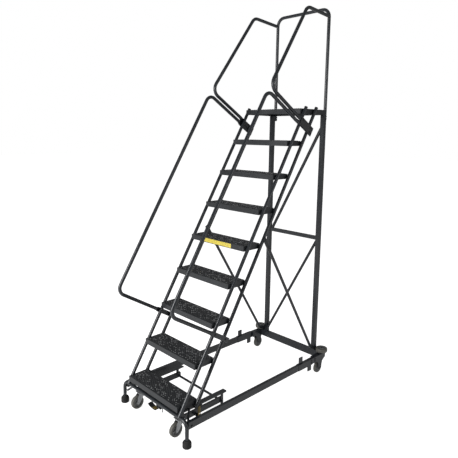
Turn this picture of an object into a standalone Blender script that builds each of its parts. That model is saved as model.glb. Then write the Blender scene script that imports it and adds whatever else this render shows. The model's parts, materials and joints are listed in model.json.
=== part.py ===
"""Rolling library ladder: eight treads and a platform on inclined tube stringers.

The ladder stands on two rubber feet at the front and two rigid wheels at the back.  Two swivel
casters hang on a rocker frame under the first tread, and a pedal frees that frame.

Frame: +X is the climber's right, +Y runs from the front to the back, +Z is up.  The origin is on
the floor, in the middle of the whole ladder.  Lengths are in metres.  Inside this file, y is
counted from the nose of the first tread; the empty called ladder_frame moves it all to the origin.
"""
import math

import bmesh
import bpy
from mathutils import Matrix, Vector

# ------------------------------------------------------------------ driving dimensions
GAP = 0.0003               # air left between pieces that touch

TREAD_COUNT = 8            # treads below the platform
FIRST_RISE = 0.254         # floor to the first tread's top
STEP_RISE = 0.254
STEP_RUN = 0.154
TREAD_DEPTH = 0.171
PLATFORM_DEPTH = 0.354
FASCIA_HEIGHT = 0.040      # depth of the flanges folded down round each tread
SHEET = 0.003              # thickness of the tread sheet

TUBE = 0.027               # outer diameter of every bent tube
STRINGER_SPACING = 0.6134   # between the left and right stringer axes
STRINGER_SETBACK = 0.048   # front stringer axis behind a tread's nose, at the tread's top
STRINGER_PAIR = 0.137      # rear stringer behind the front one, measured level
STRINGER_TIP = 0.008       # stringer axis ends this far above the platform
CAP_THICKNESS = 0.005

FLAT_WIDTH = 0.0375        # flattened tube ends
FLAT_THICKNESS = 0.009
FLAT_TAPER = 0.045         # length over which a tube turns flat
FLAT_OVERHANG = 0.035      # flat end past the rear stringer's axis

HANDRAIL_STANDOFF = 0.454  # handrail axis in front of the front stringer, measured square to it
HANDRAIL_START = 0.509     # along the stringer from the first tread
HANDRAIL_END = 2.232
HANDRAIL_BEND = 0.060
RAIL_OUTSET = 0.006        # hand and guard rails run this much outside the stringers' axes
GUARD_START = 2.270
GUARD_STANDOFF = 0.446
GUARD_BEND = 0.068
GUARD_TOP_SETBACK = 0.064  # guard rail's upper bend behind the platform's nose
GUARD_HEIGHT = 0.776       # guard rail's upper bend above the platform
GUARD_OUTSET = 0.007       # its top end stands this much outside the rear rail's axis
GUARD_FALL = 0.023         # its top run falls this much towards the rear rail

REAR_RAIL_SPACING = 0.5414
REAR_RAIL_HEIGHT = 0.816   # above the platform
REAR_RAIL_LAP = 0.083      # down below the platform, behind the posts
REAR_RAIL_BEND = 0.065

POST = 0.035               # square rear posts
POST_SPACING = 0.5566
BRACE_TUBE = 0.024
BRACE_BAR = 0.032          # height of the level bar between the posts
BRACE_BAR_DEPTH = 0.025
BRACE_BAR_Z = 1.195
REAR_UPPER_BRACE_TOP = 2.134
REAR_LOWER_BRACE_BOTTOM = 0.221
REAR_BRACE_DIPS = (0.037, 0.010)  # the braces' axes meet the posts this far below the level bar's faces
SIDE_BRACE_TOP_Z = 1.294   # where the side brace meets the rear stringer
SIDE_BRACE_KNEE = (0.082, 0.232)  # its lower bend: in front of the post's middle, and height
SIDE_BRACE_END_Z = 0.199
SIDE_BRACE_FLAT = 0.032
SIDE_BRACE_BEND = 0.040

RAIL_SPACING = 0.738       # base side rails, axis to axis
RAIL_WIDTH = 0.0254
RAIL_BOTTOM = 0.122
RAIL_HEIGHT = 0.049
RAIL_END = 1.440
SLEEVE_START = 1.222
SLEEVE_SHIFT = 0.022       # the left sleeve sits this much further back
SLEEVE_LENGTH = 0.192
SLEEVE_WALL = 0.002
SLEEVE_TAB = (0.045, 0.055)  # width and height of the two tabs
SLEEVE_TAB_THICKNESS = 0.008
CROSSBAR_DEPTH = 0.026
CROSSBAR_HEIGHT = 0.061
CROSSBAR_BOTTOM = 0.117

FRONT_BAR_Y = 0.016        # axis of the bent front tube
FRONT_BAR_DROP = 0.077     # its axis below the first tread's top
FRONT_LEG_SPACING = 0.758
FRONT_BEND = 0.050
FOOT_RADIUS = 0.031
FOOT_HEIGHT = 0.052
FOOT_BORE_FLOOR = 0.0215
STRUT = 0.016              # round strut from each front leg to the angle iron
STRUT_FOOT = 0.080         # where its axis meets the leg's
STRUT_RISE = 0.115

ANGLE = 0.035              # angle iron under the first tread
ANGLE_WALL = 0.004
ANGLE_INSET = 0.0442       # inner face of each upright leg inside the stringer's axis
ANGLE_REACH = 0.489
ANGLE_DROPS = (0.084, 0.071)  # underside and top of the angle behind the tread, below its top
ANGLE_RISE = (0.200, 0.215)  # under the tread the leg rises to its underside; it comes down between these
HANGER = (0.4327, 0.4575)    # front and back of the plate that carries the pivot rod
HANGER_BOTTOM = 0.089
PIVOT = (0.445, 0.114)     # y, z of the rocker's axis
PIVOT_ROD = 0.018
RUNNING = 0.0004           # radial clearance of what turns

ROCKER_INSET = 0.0125      # arm's middle inside the angle's inner face
BAR_HEIGHT = 0.030         # of the rocker's front bar
ARM_END = 0.016            # the rocker's arms end this far behind the pivot
ROCKER_ARM = (0.018, 0.103, 0.143)  # width, underside and top
ROCKER_BAR = (0.048, 0.092, 0.1288)  # front, back and bottom of the rocker's front bar
SPRING_OUTSET = 0.0325     # spring's axis outside the angle's inner face
SPRING_Y = 0.197
SPRING_RADIUS = 0.0105
SPRING_SEAT_Z = 0.1065      # underside of the rocker's spring seat
SPRING_HANGER_DROP = 0.056  # underside of the fixed spring seat below the first tread's top
SEAT = 0.004
SEAT_DEPTH = 0.030

CASTER_INSET = 0.014       # swivel axis inside the arm's middle
CASTER_Y = 0.064
CASTER_TRAIL = 0.030
CASTER_PLATE = (0.062, 0.056, 0.005)  # width, depth and thickness
WHEEL_RADIUS = 0.051
FRONT_WHEEL_WIDTH = 0.028
REAR_WHEEL_WIDTH = 0.0215
HUB_PROUD = 0.0035         # the two hub faces together stand this much wider than the tyre
AXLE = 0.010
FORK_SHEET = 0.003
REAR_WHEEL_X = 0.356
REAR_WHEEL_Y = 1.528
BRACKET_SHEET = 0.004
BRACKET_REACH = 1.602

BUMPER_X = 0.362
BUMPER_Y = 1.572
BUMPER_RADIUS = 0.0505
BUMPER_BOTTOM = 0.184
BUMPER_WIDTH = 0.032
BUMPER_BOLT = 0.012

PEDAL_PIN = (0.036, 0.038)  # y of the pedal's axis, and how far it is below the front bar's
PEDAL_PIN_RADIUS = 0.004
PEDAL_X = (-0.050, 0.036)
PEDAL_FRONT = 0.002
PEDAL_DROP = 0.023         # underside of the pedal below its pin
PEDAL_CURL = 0.015         # the pedal's free end turns up this far
PEDAL_SHEET = 0.005
PEDAL_CHEEKS = (0.040, 0.068)
HOOK_X = 0.080
HOOK_LENGTH = 0.031

TUBE_SIDES = 12
BEND_STEPS = 6
WHEEL_SIDES = 24

# ------------------------------------------------------------------ values that follow from them
R = TUBE / 2
SLOPE = math.atan2(STEP_RISE, STEP_RUN)
ALONG = Vector((0, math.cos(SLOPE), math.sin(SLOPE)))      # up the stringers
OUTWARD = Vector((0, -math.sin(SLOPE), math.cos(SLOPE)))   # square to them, towards the climber
STRINGER_X = STRINGER_SPACING / 2
HANDRAIL_X = STRINGER_X + RAIL_OUTSET
STRINGER_FOOT = Vector((0, STRINGER_SETBACK, FIRST_RISE))
PAIR_NORMAL = STRINGER_PAIR * math.sin(SLOPE)              # between the pair, square to them
PLATFORM_Z = FIRST_RISE + TREAD_COUNT * STEP_RISE
PLATFORM_Y = TREAD_COUNT * STEP_RUN
PLATFORM_BACK = PLATFORM_Y + PLATFORM_DEPTH
TREAD_HALF = STRINGER_X - R - GAP
LAP_X = STRINGER_X + R + FLAT_THICKNESS / 2 + GAP          # flat ends bolted outside the stringers
POST_Y = PLATFORM_BACK - POST / 2 - 0.0005
POST_X = POST_SPACING / 2
CROSSBAR_TOP = CROSSBAR_BOTTOM + CROSSBAR_HEIGHT
RAIL_X = RAIL_SPACING / 2
RAIL_TOP = RAIL_BOTTOM + RAIL_HEIGHT
RAIL_START = FRONT_BAR_Y + R + GAP
FRONT_BAR_Z = FIRST_RISE - FRONT_BAR_DROP
SPRING_HANGER_Z = FIRST_RISE - SPRING_HANGER_DROP
WHEEL_SLOT = REAR_WHEEL_WIDTH + HUB_PROUD + 2 * RUNNING     # between the bracket's cheek and its axle spacer
CHEEK_X = REAR_WHEEL_X - WHEEL_SLOT / 2                    # rear bracket's inner cheek, side facing the wheel
ANGLE_TOP = FIRST_RISE - FASCIA_HEIGHT - GAP
ANGLE_X = STRINGER_X - ANGLE_INSET
ROCKER_ARM_X = ANGLE_X - ROCKER_INSET
SPRING_X = ANGLE_X + SPRING_OUTSET
CASTER_X = ROCKER_ARM_X - CASTER_INSET

BEND_CENTRE = (STRINGER_FOOT + ALONG * (HANDRAIL_START + HANDRAIL_BEND)
               + OUTWARD * (HANDRAIL_STANDOFF - HANDRAIL_BEND))
FRONTMOST = BEND_CENTRE.y - HANDRAIL_BEND - R
REARMOST = BUMPER_Y + BUMPER_RADIUS
MIDDLE_Y = (FRONTMOST + REARMOST) / 2

SIDES = (("left", -1), ("right", 1))
X_AXIS, Y_AXIS, Z_AXIS = Vector((1, 0, 0)), Vector((0, 1, 0)), Vector((0, 0, 1))

# colour, metallic, roughness
FINISHES = {
    "dark_enamel": ((0.035, 0.036, 0.040), 0.3, 0.45),
    "tread_enamel": ((0.030, 0.031, 0.034), 0.3, 0.60),
    "rubber": ((0.015, 0.015, 0.015), 0.0, 0.85),
    "wheel_tread": ((0.12, 0.12, 0.10), 0.0, 0.70),
    "zinc": ((0.42, 0.43, 0.44), 0.9, 0.40),
    "yellow_zinc": ((0.42, 0.34, 0.14), 0.8, 0.40),
    "plug_plastic": ((0.012, 0.012, 0.013), 0.0, 0.50),
}


# ------------------------------------------------------------------ scene and finishes
def clear_scene():
    """Remove every object that the scene starts with."""
    for obj in list(bpy.data.objects):
        bpy.data.objects.remove(obj, do_unlink=True)


def make_finish(name):
    """Return the Principled material of this finish, made once."""
    material = bpy.data.materials.get(name)
    if material is None:
        colour, metallic, roughness = FINISHES[name]
        material = bpy.data.materials.new(name)
        material.use_nodes = True
        shader = material.node_tree.nodes["Principled BSDF"]
        shader.inputs["Base Color"].default_value = (*colour, 1)
        shader.inputs["Metallic"].default_value = metallic
        shader.inputs["Roughness"].default_value = roughness
    return material


def add_part(name, bm, finish, at=(0, 0, 0), parent=None, smooth=False):
    """Make one named object from a bmesh whose points are counted from `at`."""
    bmesh.ops.recalc_face_normals(bm, faces=bm.faces)
    mesh = bpy.data.meshes.new(name)
    bm.to_mesh(mesh)
    bm.free()
    if smooth:
        mesh.shade_smooth()
        mesh.set_sharp_from_angle(angle=math.radians(40))
    mesh.materials.append(make_finish(finish))
    obj = bpy.data.objects.new(name, mesh)
    bpy.context.scene.collection.objects.link(obj)
    parent = parent or bpy.data.objects["ladder_frame"]
    obj.parent = parent
    obj.location = Vector(at) - Vector(parent.get("anchor", (0, 0, 0)))
    obj["anchor"] = tuple(at)
    return obj


# ------------------------------------------------------------------ shapes
def add_box(bm, low, high):
    """Add a box between two corners."""
    low, high = Vector(low), Vector(high)
    size = high - low
    matrix = Matrix.Translation((low + high) / 2) @ Matrix.Diagonal((*size, 1))
    bmesh.ops.create_cube(bm, size=1, matrix=matrix)


def box(low, high):
    """Return a bmesh with one box."""
    bm = bmesh.new()
    add_box(bm, low, high)
    return bm


def prism(outline, low_x, high_x):
    """Return a plate: an outline of (y, z) points with a thickness along x."""
    bm = bmesh.new()
    near = [bm.verts.new((low_x, y, z)) for y, z in outline]
    far = [bm.verts.new((high_x, y, z)) for y, z in outline]
    bm.faces.new(near)
    bm.faces.new(far)
    for i in range(len(outline)):
        j = (i + 1) % len(outline)
        bm.faces.new((near[i], near[j], far[j], far[i]))
    return bm


def turning(axis):
    """Return the matrix that turns +Z to this axis."""
    return Z_AXIS.rotation_difference(Vector(axis)).to_matrix().to_4x4()


def rod(start, end, radius, sides=TUBE_SIDES):
    """Return a solid cylinder between two points."""
    start, end = Vector(start), Vector(end)
    bm = bmesh.new()
    matrix = Matrix.Translation((start + end) / 2) @ turning(end - start)
    bmesh.ops.create_cone(bm, cap_ends=True, segments=sides, radius1=radius, radius2=radius,
                          depth=(end - start).length, matrix=matrix)
    return bm


def turned(profile, axis=Z_AXIS, centre=(0, 0, 0), sides=WHEEL_SIDES):
    """Return a turned solid; the profile is a closed loop of (radius, height) along the axis."""
    bm = bmesh.new()
    matrix = Matrix.Translation(centre) @ turning(axis)
    rings = []
    for radius, height in profile:
        if radius == 0:
            rings.append([bm.verts.new(matrix @ Vector((0, 0, height)))])
            continue
        angles = [2 * math.pi * k / sides for k in range(sides)]
        rings.append([bm.verts.new(matrix @ Vector((radius * math.cos(a), radius * math.sin(a), height)))
                      for a in angles])
    for i, ring in enumerate(rings):
        other = rings[(i + 1) % len(rings)]
        for k in range(sides):
            j = (k + 1) % sides
            corners = [ring[k % len(ring)], ring[j % len(ring)], other[j % len(other)], other[k % len(other)]]
            corners = list(dict.fromkeys(corners))
            if len(corners) > 2:
                bm.faces.new(corners)
    return bm


def joined(pieces, cutters=()):
    """Return one solid: the union of the pieces, less the cutters."""
    helpers = []
    for index, bm in enumerate((*pieces, *cutters)):
        bmesh.ops.recalc_face_normals(bm, faces=bm.faces)
        mesh = bpy.data.meshes.new(f"helper_{index}")
        bm.to_mesh(mesh)
        bm.free()
        helper = bpy.data.objects.new(mesh.name, mesh)
        bpy.context.scene.collection.objects.link(helper)
        helper.hide_render = True
        helper.display_type = "WIRE"
        helpers.append(helper)
    base = helpers[0]
    for index, helper in enumerate(helpers[1:], start=1):
        modifier = base.modifiers.new("step", "BOOLEAN")
        modifier.solver = "EXACT"
        modifier.operation = "UNION" if index < len(pieces) else "DIFFERENCE"
        modifier.object = helper
    shape = base.evaluated_get(bpy.context.evaluated_depsgraph_get())
    result = bmesh.new()
    result.from_mesh(shape.to_mesh())
    shape.to_mesh_clear()
    bmesh.ops.dissolve_limit(result, angle_limit=math.radians(0.5), verts=result.verts, edges=result.edges)
    for helper in helpers:
        mesh = helper.data
        bpy.data.objects.remove(helper)
        bpy.data.meshes.remove(mesh)
    return result


def rounded(corners, radius):
    """Return a polyline whose inner corners are replaced by arcs of this radius."""
    points = [corners[0]]
    for before, corner, after in zip(corners, corners[1:], corners[2:]):
        back, ahead = (before - corner).normalized(), (after - corner).normalized()
        half = back.angle(ahead) / 2
        reach = radius / math.tan(half)
        centre = corner + (back + ahead).normalized() * radius / math.sin(half)
        first = corner + back * reach - centre
        turn = math.pi - 2 * half
        pivot = first.cross(corner + ahead * reach - centre).normalized()
        for step in range(BEND_STEPS + 1):
            points.append(centre + Matrix.Rotation(turn * step / BEND_STEPS, 3, pivot) @ first)
    points.append(corners[-1])
    return points


def point_at(points, distance):
    """Return the point this far along a polyline."""
    for a, b in zip(points, points[1:]):
        length = (b - a).length
        if distance <= length:
            return a.lerp(b, distance / length)
        distance -= length
    return points[-1].copy()


def with_stations(points, distances):
    """Return the polyline with extra points at these distances along it."""
    travelled, marks = 0, [(0, points[0])]
    for a, b in zip(points, points[1:]):
        travelled += (b - a).length
        marks.append((travelled, b))
    marks += [(d, point_at(points, d)) for d in distances if all(abs(d - m[0]) > 0.001 for m in marks)]
    return sorted(marks, key=lambda mark: mark[0])


def flatness(distance, total, flat_start, flat_end):
    """Return how flat the tube is at this distance: 0 is round and 1 is flat."""
    def near(reach, flat):
        if flat is None:
            return 0
        t = min(max((flat + FLAT_TAPER - reach) / FLAT_TAPER, 0), 1)
        return t * t * (3 - 2 * t)
    return near(distance, flat_start), near(total - distance, flat_end)


def tube(points, diameter, side, flat_start=None, flat_end=None, shift_start=0, shift_end=0,
         flat_width=FLAT_WIDTH):
    """Return a bent tube as a solid bar, with either end pressed flat.

    side is the direction square to the bends.  flat_start and flat_end are the lengths of the flat
    ends, which lie off the tube's axis by the two shifts along side.
    """
    total = sum((b - a).length for a, b in zip(points, points[1:]))
    extra = []
    for flat, sign in ((flat_start, 0), (flat_end, 1)):
        if flat is not None:
            steps = [flat + FLAT_TAPER * k / 4 for k in range(5)]
            extra += [abs(sign * total - step) for step in steps]
    marks = with_stations(points, extra)
    centres = [mark[1] for mark in marks]
    bm = bmesh.new()
    rings = []
    for index, (distance, centre) in enumerate(marks):
        ahead = centres[min(index + 1, len(centres) - 1)] - centre
        behind = centre - centres[max(index - 1, 0)]
        tangent = (ahead.normalized() + behind.normalized()).normalized()
        normal = tangent.cross(side).normalized()
        across = normal.cross(tangent).normalized()
        at_start, at_end = flatness(distance, total, flat_start, flat_end)
        flat = max(at_start, at_end)
        half_in = diameter / 2 + (flat_width - diameter) / 2 * flat
        half_out = diameter / 2 + (FLAT_THICKNESS - diameter) / 2 * flat
        power = 2 / (2 + 4 * flat)
        centre = centre + side * (shift_start * at_start + shift_end * at_end)
        ring = []
        for k in range(TUBE_SIDES):
            angle = 2 * math.pi * k / TUBE_SIDES
            c, s = math.cos(angle), math.sin(angle)
            u = math.copysign(abs(c) ** power, c) * half_in if abs(c) > 1e-9 else 0
            v = math.copysign(abs(s) ** power, s) * half_out if abs(s) > 1e-9 else 0
            ring.append(bm.verts.new(centre + normal * u + across * v))
        rings.append(ring)
    for ring, other in zip(rings, rings[1:]):
        for k in range(TUBE_SIDES):
            j = (k + 1) % TUBE_SIDES
            bm.faces.new((ring[k], ring[j], other[j], other[k]))
    bm.faces.new(rings[0])
    bm.faces.new(rings[-1])
    return bm


def on_stringer(along, outward, x=0):
    """Return a point by its distance up the front stringer and its distance square to it."""
    return STRINGER_FOOT + ALONG * along + OUTWARD * outward + X_AXIS * x


# ------------------------------------------------------------------ stringers, treads, platform
def make_stringers():
    """Two parallel tubes on each side carry the treads; each top is plugged."""
    for row, offset, foot_z in (("front", 0, FRONT_BAR_Z + R + GAP), ("rear", STRINGER_PAIR, SPRING_HANGER_Z + SEAT + GAP)):
        run = STEP_RUN / STEP_RISE
        base_y = STRINGER_SETBACK + offset
        tip_z = PLATFORM_Z + STRINGER_TIP
        for side, sign in SIDES:
            x = sign * STRINGER_X
            foot = Vector((x, base_y + (foot_z - FIRST_RISE) * run, foot_z))
            tip = Vector((x, base_y + (tip_z - FIRST_RISE) * run, tip_z))
            bm = rod(foot - ALONG * R, tip, R)
            level_cut(bm, foot_z)
            add_part(f"stringer_{row}_{side}", bm, "dark_enamel", smooth=True)
            cap = rod(tip + ALONG * GAP, tip + ALONG * (GAP + CAP_THICKNESS), R + 0.0008)
            add_part(f"stringer_cap_{row}_{side}", cap, "plug_plastic", smooth=True)


def level_cut(bm, z):
    """Cut the solid off level at this height, keep what is above and close it."""
    geometry = bm.verts[:] + bm.edges[:] + bm.faces[:]
    cut = bmesh.ops.bisect_plane(bm, geom=geometry, plane_co=(0, 0, z), plane_no=(0, 0, -1), clear_outer=True)
    edges = [item for item in cut["geom_cut"] if isinstance(item, bmesh.types.BMEdge)]
    bmesh.ops.holes_fill(bm, edges=edges)


def tread_pan(nose_y, top_z, depth):
    """Return a folded tread: a top sheet with flanges down all four sides, open below."""
    low, high = top_z - FASCIA_HEIGHT, top_z - SHEET
    outside = [(-TREAD_HALF, nose_y), (TREAD_HALF, nose_y), (TREAD_HALF, nose_y + depth), (-TREAD_HALF, nose_y + depth)]
    half, near, far = TREAD_HALF - SHEET, nose_y + SHEET, nose_y + depth - SHEET
    inside = [(-half, near), (half, near), (half, far), (-half, far)]
    bm = bmesh.new()
    top = [bm.verts.new((x, y, top_z)) for x, y in outside]
    skirt = [bm.verts.new((x, y, low)) for x, y in outside]
    lip = [bm.verts.new((x, y, low)) for x, y in inside]
    ceiling = [bm.verts.new((x, y, high)) for x, y in inside]
    bm.faces.new(top)
    bm.faces.new(ceiling)
    for upper, lower in ((top, skirt), (skirt, lip), (lip, ceiling)):
        for i in range(4):
            j = (i + 1) % 4
            bm.faces.new((upper[i], upper[j], lower[j], lower[i]))
    return bm


def make_treads():
    """Eight treads and the deeper platform."""
    for index in range(TREAD_COUNT):
        pan = tread_pan(index * STEP_RUN, FIRST_RISE + index * STEP_RISE, TREAD_DEPTH)
        add_part(f"step_{index + 1}", pan, "tread_enamel")
    add_part("platform", tread_pan(PLATFORM_Y, PLATFORM_Z, PLATFORM_DEPTH), "tread_enamel")


# ------------------------------------------------------------------ hand and guard rails
def make_handrails():
    """A bent tube stands off each pair of stringers; its flat ends lap their outer sides."""
    lower_end = -PAIR_NORMAL - FLAT_OVERHANG
    flat = -lower_end
    for side, sign in SIDES:
        x = sign * HANDRAIL_X
        corners = [on_stringer(HANDRAIL_START, lower_end, x), on_stringer(HANDRAIL_START, HANDRAIL_STANDOFF, x),
                   on_stringer(HANDRAIL_END, HANDRAIL_STANDOFF, x), on_stringer(HANDRAIL_END, lower_end, x)]
        bm = tube(rounded(corners, HANDRAIL_BEND), TUBE, X_AXIS * sign, flat + R, flat + R,
                  LAP_X - HANDRAIL_X, LAP_X - HANDRAIL_X)
        add_part(f"handrail_{side}", bm, "dark_enamel", smooth=True)


def make_guard_rails():
    """Each guard rail leaves the stringers beside the handrail and leans in to the rear rail."""
    end = -PAIR_NORMAL - FLAT_OVERHANG
    rear_y = PLATFORM_BACK + GAP + R
    for side, sign in SIDES:
        foot = on_stringer(GUARD_START, end, sign * HANDRAIL_X)
        low_bend = on_stringer(GUARD_START, GUARD_STANDOFF, sign * HANDRAIL_X)
        top_x = sign * (REAR_RAIL_SPACING / 2 + GUARD_OUTSET)
        top_bend = Vector((top_x, PLATFORM_Y + GUARD_TOP_SETBACK, PLATFORM_Z + GUARD_HEIGHT))
        last = Vector((top_x, rear_y - R - 0.0012, PLATFORM_Z + GUARD_HEIGHT - GUARD_FALL))
        points = rounded([foot, low_bend, top_bend, last], GUARD_BEND)
        bm = tube(points, TUBE, X_AXIS * sign, flat_start=-end + R, shift_start=LAP_X - HANDRAIL_X)
        add_part(f"guard_rail_{side}", bm, "dark_enamel", smooth=True)


def make_rear_rail():
    """An upside-down U behind the platform; its legs lap the backs of the rear posts."""
    x, y = REAR_RAIL_SPACING / 2, PLATFORM_BACK + GAP + R
    low, high = PLATFORM_Z - REAR_RAIL_LAP, PLATFORM_Z + REAR_RAIL_HEIGHT
    corners = [Vector((-x, y, low)), Vector((-x, y, high)), Vector((x, y, high)), Vector((x, y, low))]
    add_part("rear_rail", tube(rounded(corners, REAR_RAIL_BEND), TUBE, Y_AXIS), "dark_enamel", smooth=True)


# ------------------------------------------------------------------ rear frame
def make_posts():
    """Two square posts from the rear crossbar up to the platform's flanges."""
    for side, sign in SIDES:
        x = sign * POST_X
        bm = box((x - POST / 2, POST_Y - POST / 2, CROSSBAR_TOP + GAP),
                 (x + POST / 2, POST_Y + POST / 2, PLATFORM_Z - FASCIA_HEIGHT - GAP))
        add_part(f"post_{side}", bm, "dark_enamel")


def slanted_brace(low, high, diameter, bar_face, beyond):
    """Return a round brace cut upright at the posts and level at one face of the level bar.

    beyond is +1 when the brace stays under that face, and -1 when it stays above it.
    """
    reach = POST_X - POST / 2 - GAP
    direction = (high - low).normalized()
    bm = rod(low - direction * diameter * 2, high + direction * diameter * 2, diameter / 2)
    planes = [((-reach, 0, 0), (-1, 0, 0)), ((reach, 0, 0), (1, 0, 0)), ((0, 0, bar_face), (0, 0, beyond))]
    for place, normal in planes:
        geometry = bm.verts[:] + bm.edges[:] + bm.faces[:]
        cut = bmesh.ops.bisect_plane(bm, geom=geometry, plane_co=place, plane_no=normal, clear_outer=True)
        edges = [item for item in cut["geom_cut"] if isinstance(item, bmesh.types.BMEdge)]
        bmesh.ops.holes_fill(bm, edges=edges)
    return bm


def make_rear_braces():
    """Two diagonals and a level bar between the posts."""
    reach = POST_X - POST / 2 - GAP
    bar_low, bar_high = BRACE_BAR_Z - BRACE_BAR / 2, BRACE_BAR_Z + BRACE_BAR / 2
    bar = box((-reach, POST_Y - BRACE_BAR_DEPTH / 2, bar_low), (reach, POST_Y + BRACE_BAR_DEPTH / 2, bar_high))
    add_part("rear_brace_level", bar, "dark_enamel")

    upper_dip, lower_dip = REAR_BRACE_DIPS
    upper = slanted_brace(Vector((-reach, POST_Y, bar_high - upper_dip)),
                          Vector((reach, POST_Y, REAR_UPPER_BRACE_TOP)), TUBE, bar_high + GAP, -1)
    add_part("rear_brace_upper", upper, "dark_enamel", smooth=True)
    lower = slanted_brace(Vector((-reach, POST_Y, REAR_LOWER_BRACE_BOTTOM)),
                          Vector((reach, POST_Y, bar_low - lower_dip)), BRACE_TUBE, bar_low - GAP, 1)
    add_part("rear_brace_lower", lower, "dark_enamel", smooth=True)


def make_side_braces():
    """A tube with flat ends runs from each rear stringer down to the foot of the post."""
    run = STEP_RUN / STEP_RISE
    top_y = STRINGER_SETBACK + STRINGER_PAIR + (SIDE_BRACE_TOP_Z - FIRST_RISE) * run
    post_x = POST_X + POST / 2 + GAP + FLAT_THICKNESS / 2
    knee_y, knee_z = POST_Y - SIDE_BRACE_KNEE[0], SIDE_BRACE_KNEE[1]
    for side, sign in SIDES:
        joint = Vector((sign * LAP_X, top_y, SIDE_BRACE_TOP_Z))
        knee = Vector((sign * post_x, knee_y, knee_z))
        end = Vector((sign * post_x, POST_Y + 0.004, SIDE_BRACE_END_Z))
        start = joint + (joint - knee).normalized() * FLAT_WIDTH / 2
        points = rounded([start, knee, end], SIDE_BRACE_BEND)
        bm = tube(points, BRACE_TUBE, X_AXIS * sign, 0.075, 0.070, flat_width=SIDE_BRACE_FLAT)
        add_part(f"side_brace_{side}", bm, "dark_enamel", smooth=True)


def make_rear_crossbar():
    """The bar between the two rear caster brackets, under the posts."""
    reach = CHEEK_X - BRACKET_SHEET - GAP
    bm = box((-reach, POST_Y - CROSSBAR_DEPTH / 2, CROSSBAR_BOTTOM), (reach, POST_Y + CROSSBAR_DEPTH / 2, CROSSBAR_TOP))
    add_part("rear_crossbar", bm, "dark_enamel")


# ------------------------------------------------------------------ base
def make_base_rails():
    """Rectangular side rails, each with a sleeve that has one tab up and one down."""
    width, sleeve_gap = RAIL_WIDTH / 2, RAIL_WIDTH / 2 + GAP
    tab_width, tab_height = SLEEVE_TAB
    for side, sign in SIDES:
        x = sign * RAIL_X
        rail = box((x - width, RAIL_START, RAIL_BOTTOM), (x + width, RAIL_END, RAIL_TOP))
        add_part(f"base_rail_{side}", rail, "dark_enamel")
        outer = sleeve_gap + SLEEVE_WALL
        begin = SLEEVE_START + (SLEEVE_SHIFT if sign < 0 else 0)
        back = begin + SLEEVE_LENGTH
        low, high = RAIL_BOTTOM - GAP - SLEEVE_WALL, RAIL_TOP + GAP + SLEEVE_WALL
        thick = SLEEVE_TAB_THICKNESS / 2
        front_tab = begin + 0.016
        pieces = [box((x - outer, begin, low), (x + outer, back, high)),
                  box((x - thick, front_tab, high - 0.001), (x + thick, front_tab + tab_width, high + tab_height)),
                  box((x - thick, back - 0.003 - tab_width, low + 0.001 - tab_height), (x + thick, back - 0.003, low + 0.001))]
        bore = box((x - sleeve_gap, begin - 0.01, RAIL_BOTTOM - GAP),
                   (x + sleeve_gap, back + 0.01, RAIL_TOP + GAP))
        add_part(f"rail_sleeve_{side}", joined(pieces, [bore]), "dark_enamel")


def make_front_frame():
    """One bent tube is both the front crossbar and the two legs; plates tie it to the rails."""
    x, low = FRONT_LEG_SPACING / 2, FOOT_BORE_FLOOR + GAP
    y, z = FRONT_BAR_Y, FRONT_BAR_Z
    corners = [Vector((-x, y, low)), Vector((-x, y, z)), Vector((x, y, z)), Vector((x, y, low))]
    add_part("front_frame", tube(rounded(corners, FRONT_BEND), TUBE, Y_AXIS), "dark_enamel", smooth=True)
    foot = [(0, 0), (FOOT_RADIUS - 0.003, 0), (FOOT_RADIUS, 0.004), (FOOT_RADIUS, FOOT_HEIGHT * 0.72),
            (R + 0.006, FOOT_HEIGHT), (R + GAP, FOOT_HEIGHT), (R + GAP, FOOT_BORE_FLOOR), (0, FOOT_BORE_FLOOR)]
    for side, sign in SIDES:
        add_part(f"foot_{side}", turned(foot, centre=(sign * x, FRONT_BAR_Y, 0)), "rubber", smooth=True)
        leg = Vector((sign * x, FRONT_BAR_Y, STRUT_FOOT))
        face = ANGLE_X + ANGLE_WALL + GAP
        way = Vector((-sign * (x - face), x - face, STRUT_RISE)).normalized()
        begin = (R + GAP + STRUT / 2 * way.z) / math.hypot(way.x, way.y)
        end = (x - face - STRUT / 2 * math.sqrt(1 - way.x ** 2)) / abs(way.x)
        strut = rod(leg + way * (begin + 0.0002), leg + way * (end - 0.0002), STRUT / 2)
        add_part(f"leg_strut_{side}", strut, "dark_enamel", smooth=True)


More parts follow.
